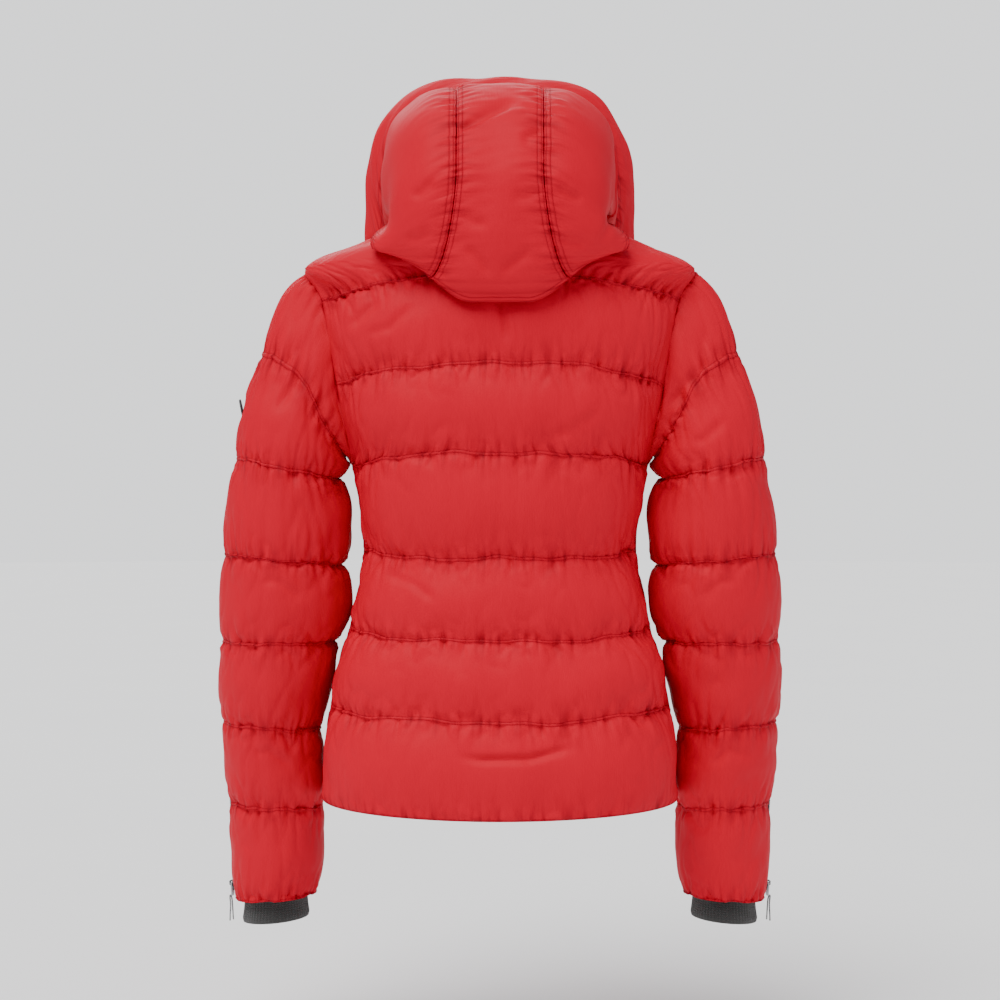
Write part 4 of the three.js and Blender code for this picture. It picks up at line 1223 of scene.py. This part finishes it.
class JACKET_OT_cords(bpy.types.Operator):
    """Threads the grey cord through each cuff zip's pull"""

    bl_idname = "jacket.cords"
    bl_label = "Pull cords"

    def execute(self, context):
        tail = (CORD_LENGTH - 9) / 2
        slider_at = 10 - CUFF_ZIP_LENGTH / 2
        eye = np.array([0, -COIL_HEIGHT - 0.35 - 1.3 - 2.4, slider_at - 11.5])
        route = np.array([
            [-4.5, -2, -tail - 2],
            [-3.6, -1.6, -0.62 * tail],
            [-2.6, -1.2, -0.3 * tail],
            [-2.4, -1.4, -3],
            [-1.2, -1.9, 0.2],
            [0.4, -2.1, 0.9],
            [1.7, -1.9, -0.4],
            [2.5, -1.4, -4],
            [3.2, -1.2, -0.38 * tail],
            [4.6, -1.6, -0.7 * tail],
            [5.4, -2, -tail],
        ])
        curve = stations(route + np.array([0, -1, -3.6]) + eye)
        local = curve(np.linspace(0, len(route) - 1, 81))
        for side, hand in HANDS:
            path = placed(cuff_frame(), local, hand)
            points, faces = tube(path, CORD_DIAMETER / 2)
            run = np.concatenate([[0], np.cumsum(np.linalg.norm(np.diff(path, axis=0), axis=1))]) * MM
            around = np.tile(np.arange(8) / 8, len(path))
            cloth = np.vstack([np.stack([around, np.repeat(run, 8)], -1), [[0, 0], [0, run[-1]]]])
            piece = make_piece(f"pull_cord_{side}", points, faces, finish("cord"), {"cloth": cloth})
            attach(piece, f"cuff_zip_{side}_pull")
            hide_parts(f"cuff_pull_cord_{side}")
            tuple(path[40] * MM)
            [tuple(p * MM) for p in path]
        return {"FINISHED"}


class JACKET_OT_quilting(bpy.types.Operator):
    """Swells the padding between the sewn lines of the body and sleeves"""

    bl_idname = "jacket.quilting"
    bl_label = "Quilted body and sleeves"

    def execute(self, context):
        panels = quilted_panels()
        swell(list(panels.values()), context.scene.jacket_sizes)
        shell = finish("shell")
        for name, panel in panels.items():
            outer, points, normals = swollen(panel)
            outer = self.folds(name, outer, points, normals)
            hand = 1 if name.endswith("left") else -1
            side = "left" if hand > 0 else "right"
            if name.startswith("front_quilting"):
                outer = pressed(outer, points, normals, pocket_frame(), 8.5, POCKET_ZIP_LENGTH / 2 + 2, hand)
            if name.startswith("sleeve_quilting"):
                outer = pressed(outer, points, normals, cuff_frame(), 6.5, CUFF_ZIP_LENGTH / 2 + 3, hand)
            inset = LINING_INSET - 1 if name.startswith("sleeve_head") else WADDING_INSET
            piece = quilt_piece(panel, outer, points, normals, shell, inset)
            if name == "back_quilting":
                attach(piece, "jacket_body")
                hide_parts("back_panel", "back_wadding")
            elif name == "back_yoke_quilting":
                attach(piece, "jacket_body")
                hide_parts("back_yoke")
            elif name.startswith("front_quilting"):
                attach(piece, "jacket_body")
                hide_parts(f"front_panel_{side}", f"front_wadding_{side}")
            elif name.startswith("front_yoke"):
                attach(piece, "jacket_body")
                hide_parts(f"front_yoke_{side}")
            elif name.startswith("sleeve_head"):
                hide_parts(f"sleeve_head_{side}")
                arm_blend(piece, hand)
            else:
                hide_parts(f"sleeve_shell_{side}", f"sleeve_wadding_{side}")
                arm_blend(piece, hand)
        return {"FINISHED"}

    def folds(self, name, outer, points, normals):
        """Draws single long folds into the swollen cloth, by their places seen from behind."""
        x, z = outer[..., 0], outer[..., 2]
        depth = np.zeros(x.shape)
        if name == "back_quilting":
            depth += 5 * crease(x, z, [(-80, -512), (-30, -524), (20, -525), (48, -521)], 4)
            depth += 3 * crease(x, z, [(2, -52), (-4, -84), (-7, -112)], 4)
            depth += 2.5 * crease(x, z, [(84, -66), (112, -92), (142, -100)], 5)
            depth += 2.5 * crease(x, z, [(120, -62), (146, -84), (160, -92)], 5)
            depth += 2.5 * crease(x, z, [(-4, -396), (-6, -412), (0, -424)], 4)
            depth += 2 * crease(x, z, [(-104, -176), (-70, -196), (-40, -206)], 6)
            depth += 2 * crease(x, z, [(60, -372), (86, -352), (120, -340)], 5)
        if name == "sleeve_head_quilting_left":
            depth += 3 * crease(x, z, [(196, -128), (216, -152), (232, -180)], 6)
        if name == "sleeve_head_quilting_right":
            depth += 3.5 * crease(x, z, [(-206, -132), (-188, -152), (-170, -178)], 6)
            depth += 2.5 * crease(x, z, [(-236, -180), (-210, -204), (-190, -212)], 6)
        if name == "sleeve_head_quilting_left":
            middle = sleeve(*BADGE_PLACE)
            under = np.exp(-((np.linalg.norm(points - middle, axis=-1) / 15) ** 6))
            height = ((outer - points) * normals).sum(-1)
            depth = depth + under * np.maximum(0, height - PATCH_BED)
        if name.startswith("sleeve_quilting"):
            depth += 2 * crease(np.abs(x), z, [(200, -372), (226, -352), (250, -350)], 5)
            depth += 2 * crease(np.abs(x), z, [(216, -548), (240, -530), (262, -536)], 5)
        return outer - normals * depth[..., None]


def arm_blend(piece, hand):
    """Works out the ends of a bend over the shoulder, from the armhole to above the elbow, which are not used, and
    bakes the piece's placement into its points.
    """
    start, end = [(hand * x, y, z) for x, y, z in (ARM_BLEND_START, ARM_BLEND_END)]
    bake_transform(piece)


class JACKET_OT_linings(bpy.types.Operator):
    """Lines the body and sleeves, and hangs the pocket bags"""

    bl_idname = "jacket.linings"
    bl_label = "Linings and pocket bags"

    def execute(self, context):
        lining = finish("lining")
        edge = 6 * DEGREES
        rows = (0.25, 8.95)
        back = self.sheet(
            "back_body_lining", body, 1, lambda t: (back_sides(t)[0] + edge, back_sides(t)[1] - edge), rows, (176, 96),
            LINING_INSET, LINING_THICKNESS, 3, lining,
        )
        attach(back, "jacket_body")
        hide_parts("back_lining")
        for side, hand in HANDS:
            def sides(t, hand=hand):
                low, high = front_sides(hand)(t)
                return (low + edge, high) if hand > 0 else (low, high - edge)

            front = self.sheet(
                f"front_body_lining_{side}", body, 1, sides, rows, (176, 48), LINING_INSET, LINING_THICKNESS,
                5 + hand, lining,
            )
            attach(front, "jacket_body")
            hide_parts(f"front_lining_{side}")

            def bag_sides(t, sides=sides, hand=hand):
                low, high = sides(t)
                a, b = (0.2, 0.65) if hand > 0 else (0.35, 0.8)
                return mix(low, high, a), mix(low, high, b)

            bag = self.sheet(
                f"pocket_pouch_{side}", body, 1, bag_sides, (0.5, 2.5), (60, 28), WADDING_INSET + 2 * GAP, 1.2,
                15 + hand, lining,
            )
            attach(bag, "jacket_body")
            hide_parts(f"pocket_bag_{side}")
            arm = self.sheet(
                f"sleeve_inner_lining_{side}", sleeve if hand > 0 else mirrored_sleeve, -hand, round_sides,
                (3.012, 6.6), (100, 72), LINING_INSET, LINING_THICKNESS, 25 + hand, lining, ring=True,
            )
            arm_blend(arm, hand)
            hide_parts(f"sleeve_lining_{side}")
        return {"FINISHED"}

    def sheet(self, name, surface, facing, sides, rows, counts, inset, thickness, seed, material, ring=False):
        """A thin closed sheet below a surface, with slow seeded waves in it."""
        panel = Panel(name, surface, facing, sides, rows, 1, counts[1], ring)
        tt, uu = np.meshgrid(
            np.linspace(*rows, counts[0] + 1),
            np.arange(counts[1]) / counts[1] if ring else np.linspace(0, 1, counts[1] + 1), indexing="ij",
        )
        low, high = sides(tt)
        angle = mix(low, high, uu)
        points = surface(angle, tt)
        normals = outward(surface, angle, tt, facing)
        settle = smooth(np.minimum(tt - rows[0], rows[1] - tt) / 0.4)
        ripple = 0.5 * waves(seed, angle * 150, tt * 82, 9, 30, 120) * settle if not ring else 0
        outer = points - normals * (inset + np.asarray(ripple))[..., None]
        inner = outer - normals * thickness
        shape, faces = closed_sheet(outer, inner, ring, facing)
        return make_piece(panel.name, shape, faces, material)


class JACKET_OT_collar(bpy.types.Operator):
    """Makes the standing collar, its lining and the hanger loop"""

    bl_idname = "jacket.collar"
    bl_label = "Collar and hanger loop"

    def execute(self, context):
        end = float(zip_edge(np.array(float(NECK))))
        inside = COLLAR_PADDING + GAP + LINING_THICKNESS
        outer = self.band("collar_shell", end, (0, 1), 0, COLLAR_PADDING, finish("shell"), 1.6)
        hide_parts("collar_outer")
        lining = self.band("collar_inner", end, (0, 1), COLLAR_PADDING + GAP, inside, finish("lining"), 0)
        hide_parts("collar_lining")
        loop = self.band("hanger_tape", end / 10, (0.5, 0.6), inside + GAP, inside + GAP + 1.2, finish("tape"), 0)
        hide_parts("hanger_loop")
        for piece in (outer, lining, loop):
            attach(piece, "jacket_body")
        return {"FINISHED"}

    def band(self, name, end, rows, depth, inner_depth, material, puff):
        """A closed strip of the collar between two depths, its outside slightly crowned and gathered."""
        angle = np.linspace(-end, end, 281)
        t = np.linspace(*rows, 25)
        tt, aa = np.meshgrid(t, angle, indexing="ij")
        points = collar(aa, tt)
        normals = outward(collar, aa, tt, 1)
        crown = np.sin(math.pi * (tt - rows[0]) / (rows[1] - rows[0])) ** 0.6
        pucker = 0.25 * waves(61, aa * 74, tt * 50, 7, 9, 30) * crown
        outer = points - normals * (depth - puff * crown - (pucker if puff else 0))[..., None]
        inner = points - normals * inner_depth
        shape, faces = closed_sheet(outer, inner, False, 1)
        across = (aa + end) * 0.074
        height = (tt - rows[0]) * 0.05
        away = np.minimum(height, (rows[1] - tt) * 0.05)
        uv = {"cloth": both_layers(np.stack([across, height], -1)), "seam": both_layers(np.stack([across, away], -1))}
        return make_piece(name, shape, faces, material, uv)


class JACKET_OT_hood(bpy.types.Operator):
    """Makes the hood's padded panels, brim and lining, with their seams drawn in"""

    bl_idname = "jacket.hood"
    bl_label = "Hood"

    def execute(self, context):
        gap = 0.4 * DEGREES
        rows = (BRIM_SEAM + SEAM_HALF, HOOD_EDGE)
        self.panel("hood_crown", (gap - HOOD_SEAM, HOOD_SEAM - gap), rows, (168, 64), "hood_centre_panel", 71)
        self.panel("hood_cheek_left", (HOOD_SEAM, HOOD_END), rows, (168, 96), "hood_side_left", 72)
        self.panel("hood_cheek_right", (-HOOD_END, -HOOD_SEAM), rows, (168, 96), "hood_side_right", 73)
        self.panel("hood_brim_band", (-HOOD_END, HOOD_END), (0, BRIM_SEAM - SEAM_HALF), (48, 280), "hood_brim", 74)
        lining = self.lining()
        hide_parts("hood_lining")
        self.fold(lining)
        return {"FINISHED"}

    def fold(self, piece):
        """Bakes a piece's placement into its points."""
        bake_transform(piece)

    def panel(self, name, sides, rows, counts, node, seed):
        """A padded hood panel: crowned between its seams, gathered beside them, with long soft folds."""
        tt, aa = np.meshgrid(np.linspace(*rows, counts[0] + 1), np.linspace(*sides, counts[1] + 1), indexing="ij")
        points = hood(aa, tt)
        normals = outward(hood, aa, tt, -1)
        steps_across = np.linalg.norm(np.diff(points, axis=1), axis=-1)
        steps_down = np.linalg.norm(np.diff(points, axis=0), axis=-1)
        across = np.pad(np.cumsum(steps_across, 1), ((0, 0), (1, 0)))
        down = np.pad(np.cumsum(steps_down, 0), ((1, 0), (0, 0)))
        from_side = np.minimum(across, across[:, -1:] - across)
        from_end = np.minimum(down, down[-1:] - down)
        away = np.minimum(from_side, from_end)
        brim = node == "hood_brim"
        free_low = from_end if brim else np.minimum(from_side, down)
        crown = 1 - np.exp(-away / (11 if brim else 16))
        gathers = waves(seed, across * 0.4, down, 10, 9, 22) * np.exp(-free_low / 15) * (1 - np.exp(-free_low / 2.5))
        soft = waves(seed + 20, across, down, 9, 45, 130) * crown
        height = (5 if brim else 6) * crown + 1.6 * gathers + 1.2 * soft
        x, z = points[..., 0], points[..., 2]
        behind = points[..., 1] > -20
        height = height - self.creases(node, x, z, behind)
        outer = points + normals * height[..., None]
        inner = points - normals * HOOD_PADDING
        shape, faces = closed_sheet(outer, inner, False, -1, 8)
        uv = {
            "cloth": both_layers(np.stack([across, down], -1) * MM, 8),
            "seam": both_layers(np.stack([down if not brim else across, away], -1) * MM, 8),
        }
        piece = make_piece(name, shape, faces, finish("hood"), uv)
        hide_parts(node)
        if brim:
            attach(piece, "hood")
        else:
            self.fold(piece)

    def creases(self, node, x, z, behind):
        """The hood's few long folds, by their places seen from behind."""
        depth = np.zeros(x.shape)
        if node == "hood_centre_panel":
            depth += 5 * crease(x, z, [(-24, 138), (10, 122), (40, 106), (56, 96)], 6)
            depth += 3 * crease(x, z, [(-46, 112), (-30, 96), (-20, 88)], 5)
            depth += 2.5 * crease(x, z, [(-44, 46), (-26, 36), (-8, 34)], 5)
            depth += 2.5 * crease(x, z, [(44, 22), (26, 10), (8, 8)], 5)
            depth += 3 * crease(x, z, [(-34, -14), (-12, -30), (2, -40)], 5)
            depth += 3 * crease(x, z, [(36, -10), (20, -28), (8, -44)], 5)
        if node == "hood_side_left":
            depth += 3 * crease(x, z, [(62, 52), (76, 40), (88, 36)], 5)
            depth += 2.5 * crease(x, z, [(64, 4), (80, -4), (96, -4)], 5)
        if node == "hood_side_right":
            depth += 4 * crease(x, z, [(-118, 120), (-116, 66), (-108, 14), (-96, -18)], 5)
            depth += 3 * crease(x, z, [(-54, 46), (-68, 36), (-84, 34)], 5)
            depth += 2.5 * crease(x, z, [(-56, -2), (-70, -10), (-88, -8)], 5)
        return depth * behind

    def lining(self):
        """A thin sheet inside the padding, from the brim's edge down, then in to the neck seam."""
        end = mix(HOOD_SEAM, HOOD_END, 6 / 7)
        tt, aa = np.meshgrid(np.linspace(0, HOOD_EDGE, 141), np.linspace(-end, end, 161), indexing="ij")
        on_hood = np.minimum(tt, HOOD_EDGE - 1)
        points = hood(aa, on_hood)
        normals = outward(hood, aa, on_hood, -1)
        depth = HOOD_PADDING + 6 + 0.4 * waves(81, aa * 130, tt * 60, 9, 30, 110)
        outer = points - normals * depth[..., None]
        # Its last row is turned in to the neck seam.
        seam_line = body(aa, 8.7) + outward(body, aa, 8.7 + 0 * aa, 1) * 3
        outer = mix(outer, seam_line, smooth(tt - HOOD_EDGE + 1)[..., None])
        normals = outward_of_grid(outer)
        shape, faces = closed_sheet(outer, outer - normals * LINING_THICKNESS, False, -1)
        return make_piece("hood_inner_lining", shape, faces, finish("lining"))


class JACKET_OT_zips(bpy.types.Operator):
    """Weaves the zips' tapes, sets their teeth and finishes the sliders and pulls"""

    bl_idname = "jacket.zips"
    bl_label = "Zips and storm flap"

    def execute(self, context):
        pitch = context.scene.jacket_sizes.tooth_pitch / MM
        where, length = front_frame()
        half = length / 2
        outside = ZIP_CHANNEL - GAP
        for side, hand in HANDS:
            self.tape(f"front_tape_{side}", f"front_zip_tape_{side}", where, (0.15, outside), half, hand, 1, "jacket_body")
            ends = (10 - half, half - 4)
            self.teeth(f"front_teeth_{side}", f"front_zip_coil_{side}", where, ends, pitch, (hand,), 1, "jacket_body")
            self.tape(
                f"pocket_tape_{side}", f"pocket_zip_{side}_tape", pocket_frame(), (-8, 8), POCKET_ZIP_LENGTH / 2,
                1, hand, "jacket_body",
            )
            ends = (3 - POCKET_ZIP_LENGTH / 2, POCKET_ZIP_LENGTH / 2 - 3)
            self.teeth(
                f"pocket_teeth_{side}", f"pocket_zip_{side}_coil", pocket_frame(), ends, pitch, (1, -1), hand,
                "jacket_body",
            )
            self.tape(
                f"cuff_tape_{side}", f"cuff_zip_{side}_tape", cuff_frame(), (-6, 6), CUFF_ZIP_LENGTH / 2, 1, hand,
                f"sleeve_{side}",
            )
            ends = (3 - CUFF_ZIP_LENGTH / 2, CUFF_ZIP_LENGTH / 2 - 3)
            self.teeth(
                f"cuff_teeth_{side}", f"cuff_zip_{side}_coil", cuff_frame(), ends, pitch, (1, -1), hand,
                f"sleeve_{side}",
            )
        self.flap(where, half)
        self.metal()
        return {"FINISHED"}

    def tape(self, name, node, where, across, half, hand, mirrored, rides):
        """A flat woven strip with a slightly thicker selvedge, as a closed grid along the zip."""
        x = np.linspace(across[0], across[1], 9) * hand
        z = np.linspace(-half, half, int(half / 2) + 1)
        zz, xx = np.meshgrid(z, x, indexing="ij")
        edge = np.exp(-np.abs(np.abs(xx) - max(abs(a) for a in across)) / 0.8)
        front = vec(xx, GAP + 0.15 - 0.12 * edge, zz)
        back = vec(xx, GAP + TAPE_THICKNESS - 0.1, zz)
        shape, faces = closed_sheet(placed(where, front), placed(where, back), False, hand)
        if mirrored < 0:
            shape, faces = mirror(shape, faces)
        uv = {"cloth": both_layers(np.stack([xx, zz], -1) * MM)}
        piece = make_piece(name, shape, faces, finish("tape"), uv)
        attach(piece, rides)
        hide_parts(node)

    def teeth(self, name, node, where, ends, pitch, hands, mirrored, rides):
        """Rows of small rounded teeth: one bevelled block, repeated along the chain on each side."""
        width, tall, thick = COIL_WIDTH - 0.3, COIL_HEIGHT - 0.2, 0.62 * pitch
        bevel = 0.3
        profile = np.array([
            [0, 0], [0, -tall + bevel], [bevel, -tall], [width - bevel, -tall], [width, -tall + bevel], [width, 0],
        ]) + np.array([0.2, -0.05])
        corners = [(profile[:, 0], profile[:, 1], z) for z in (-thick / 2, thick / 2)]
        block = np.vstack([vec(x, y, np.full(6, z)) for x, y, z in corners])
        i = np.arange(6)
        sides = np.stack([i, (i + 1) % 6, (i + 1) % 6 + 6, i + 6], -1)
        caps = [np.array([[5, 4, 3, 2, 1, 0]]), np.array([[6, 7, 8, 9, 10, 11]])]
        all_points, all_faces, count = [], [], 0
        for number, hand in enumerate(hands):
            places = np.arange(ends[0] + pitch / 2 * (1 + (hand > 0)), ends[1] - pitch / 2, pitch)
            offsets = vec(0 * places, 0 * places, places)
            points, faces = repeated(block, [sides[:, ::-1], *[c[:, ::-1] for c in caps]], offsets)
            if hand < 0:
                points, faces = mirror(points, faces)
            all_points.append(points)
            all_faces += [f + count for f in faces]
            count += len(points)
        points = placed(where, np.vstack(all_points))
        if mirrored < 0:
            points, all_faces = mirror(points, all_faces)
        piece = make_piece(name, points, all_faces, finish("coil"), None, True)
        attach(piece, rides)
        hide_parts(node)

    def flap(self, where, half):
        """The storm flap behind the front zip: a soft strip, thinner at its edges, gently waved."""
        top = float((body(math.pi, float(SHOULDER))[2] - where[1][2]) * math.hypot(1, ZIP_LEAN)) - 20
        zz, xx = np.meshgrid(np.linspace(4 - half, top, 161), np.linspace(-18, 18, 25), indexing="ij")
        thin = 1 - 0.35 * smooth((np.abs(xx) - 13) / 5)
        wave = 0.35 * waves(91, xx, zz, 7, 25, 90)
        middle = (WADDING_INSET + 1.6 + LINING_INSET - GAP) / 2
        deep = (LINING_INSET - GAP - WADDING_INSET - 1.6) / 2 - 0.5
        front = placed(where, vec(xx, middle - deep * thin + wave, zz))
        back = placed(where, vec(xx, middle + deep * thin + wave * 0.4, zz))
        shape, faces = closed_sheet(front, back, False, 1)
        away = 18 - np.abs(xx)
        uv = {
            "cloth": both_layers(np.stack([xx, zz], -1) * MM),
            "seam": both_layers(np.stack([zz, away], -1) * MM),
        }
        piece = make_piece("storm_flap", shape, faces, finish("shell"), uv)
        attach(piece, "jacket_body")
        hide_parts("front_storm_flap")

    def metal(self):
        """Gives the sliders, the box and the pulls their enamel and steel."""
        for name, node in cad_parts.items():
            if name.endswith("_slider") or name == "front_zip_box":
                self.dress(node, finish("enamel"))
            elif name.endswith("_pull"):
                self.dress(node, finish("steel"))

    def dress(self, node, material):
        node.data.materials.clear()
        node.data.materials.append(material)


class JACKET_OT_cuffs(bpy.types.Operator):
    """Knits the ribbed cuffs and sets the patch on the upper arm"""

    bl_idname = "jacket.cuffs"
    bl_label = "Knitted cuffs and arm patch"

    def execute(self, context):
        tt, aa = np.meshgrid(np.linspace(0, 1, 41), np.arange(480) * 2 * math.pi / 480, indexing="ij")
        points = rib_cuff(aa, tt)
        normals = outward(rib_cuff, aa, tt, -1)
        ribs = 0.45 * np.abs(np.cos(30 * aa)) ** 0.6 * smooth(np.minimum(tt, 1 - tt) / 0.06)
        rounding = 0.9 * smooth((tt - 0.9) / 0.1) ** 2
        outer = points + normals * (ribs - rounding)[..., None]
        inner = points - normals * (2.4 - 0.5 * rounding)[..., None]
        for side, hand in HANDS:
            shape, faces = closed_sheet(outer, inner, True, -1)
            if hand < 0:
                shape, faces = mirror(shape, faces)
            uv = {"cloth": both_layers(np.stack([aa * 0.03, tt * 0.05], -1))}
            piece = make_piece(f"knitted_cuff_{side}", shape, faces, finish("knit"), uv)
            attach(piece, f"sleeve_{side}")
            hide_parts(f"rib_cuff_{side}")
        self.patch()
        return {"FINISHED"}

    def patch(self):
        """A round patch: a profile with a raised rim and a low dome, spun round the patch's axis."""
        base = sleeve(*BADGE_PLACE)
        middle = base + outward(sleeve, *BADGE_PLACE, -1) * PATCH_LIFT
        where = frame_at(middle, [0.2, 0, 1], middle - base)
        radius = BADGE_WIDTH / 2
        profile = np.array([
            [0, 0], [radius - 0.3, 0], [radius, -0.4], [radius, -1.6], [radius - 0.5, -2.1], [radius - 1.3, -2.1],
            [radius - 1.8, -1.5], [radius - 2.6, -1.3], [radius * 0.5, -1.7], [radius * 0.2, -1.9], [0, -1.95],
        ])
        turn = np.arange(72) * 2 * math.pi / 72
        rings = profile[1:-1]
        points = vec(np.outer(rings[:, 0], np.cos(turn)), rings[:, 1][:, None], np.outer(rings[:, 0], np.sin(turn)))
        count = len(rings) * 72
        ends = [[0, profile[0, 1], 0], [0, profile[-1, 1], 0]]
        i = np.arange(72)
        j = (i + 1) % 72
        first = np.stack([np.full(72, count), j, i], -1)
        last = np.stack([np.full(72, count + 1), i + count - 72, j + count - 72], -1)
        faces = [f[:, ::-1] for f in (grid_faces(len(rings), 72, True), first[:, ::-1], last[:, ::-1])]
        shape = placed(where, np.vstack([points.reshape(-1, 3), ends]))
        piece = make_piece("arm_patch", shape, faces, finish("badge"))
        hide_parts("arm_badge")
        arm_blend(piece, 1)


class JACKET_PT_panel(bpy.types.Panel):
    """The jacket's settings and its making, in order"""

    bl_idname = "JACKET_PT_panel"
    bl_label = "Quilted ski jacket"
    bl_space_type = "VIEW_3D"
    bl_region_type = "UI"
    bl_category = "Jacket"

    def draw(self, context):
        layout = self.layout
        for group in (context.scene.jacket_sizes, context.scene.jacket_colours, context.scene.jacket_stage):
            column = layout.box().column()
            for name in group.bl_rna.properties.keys():
                if name not in ("rna_type", "name"):
                    column.prop(group, name)
        for operator in OPERATORS:
            layout.operator(operator.bl_idname)


GROUPS = (JacketSizes, JacketColours, JacketStage)
OPERATORS = (
    JACKET_OT_stage, JACKET_OT_cords, JACKET_OT_quilting, JACKET_OT_linings, JACKET_OT_collar, JACKET_OT_hood,
    JACKET_OT_zips, JACKET_OT_cuffs,
)


def register():
    for cls in (*GROUPS, *OPERATORS, JACKET_PT_panel):
        bpy.utils.register_class(cls)
    bpy.types.Scene.jacket_sizes = PointerProperty(type=JacketSizes)
    bpy.types.Scene.jacket_colours = PointerProperty(type=JacketColours)
    bpy.types.Scene.jacket_stage = PointerProperty(type=JacketStage)


def unregister():
    del bpy.types.Scene.jacket_stage
    del bpy.types.Scene.jacket_colours
    del bpy.types.Scene.jacket_sizes
    for cls in reversed((*GROUPS, *OPERATORS, JACKET_PT_panel)):
        bpy.utils.unregister_class(cls)


def main():
    register()
    bpy.ops.jacket.stage()
    bpy.ops.jacket.cords()
    bpy.ops.jacket.quilting()
    bpy.ops.jacket.linings()
    bpy.ops.jacket.collar()
    bpy.ops.jacket.hood()
    bpy.ops.jacket.zips()
    bpy.ops.jacket.cuffs()


if __name__ == "__main__":
    main()
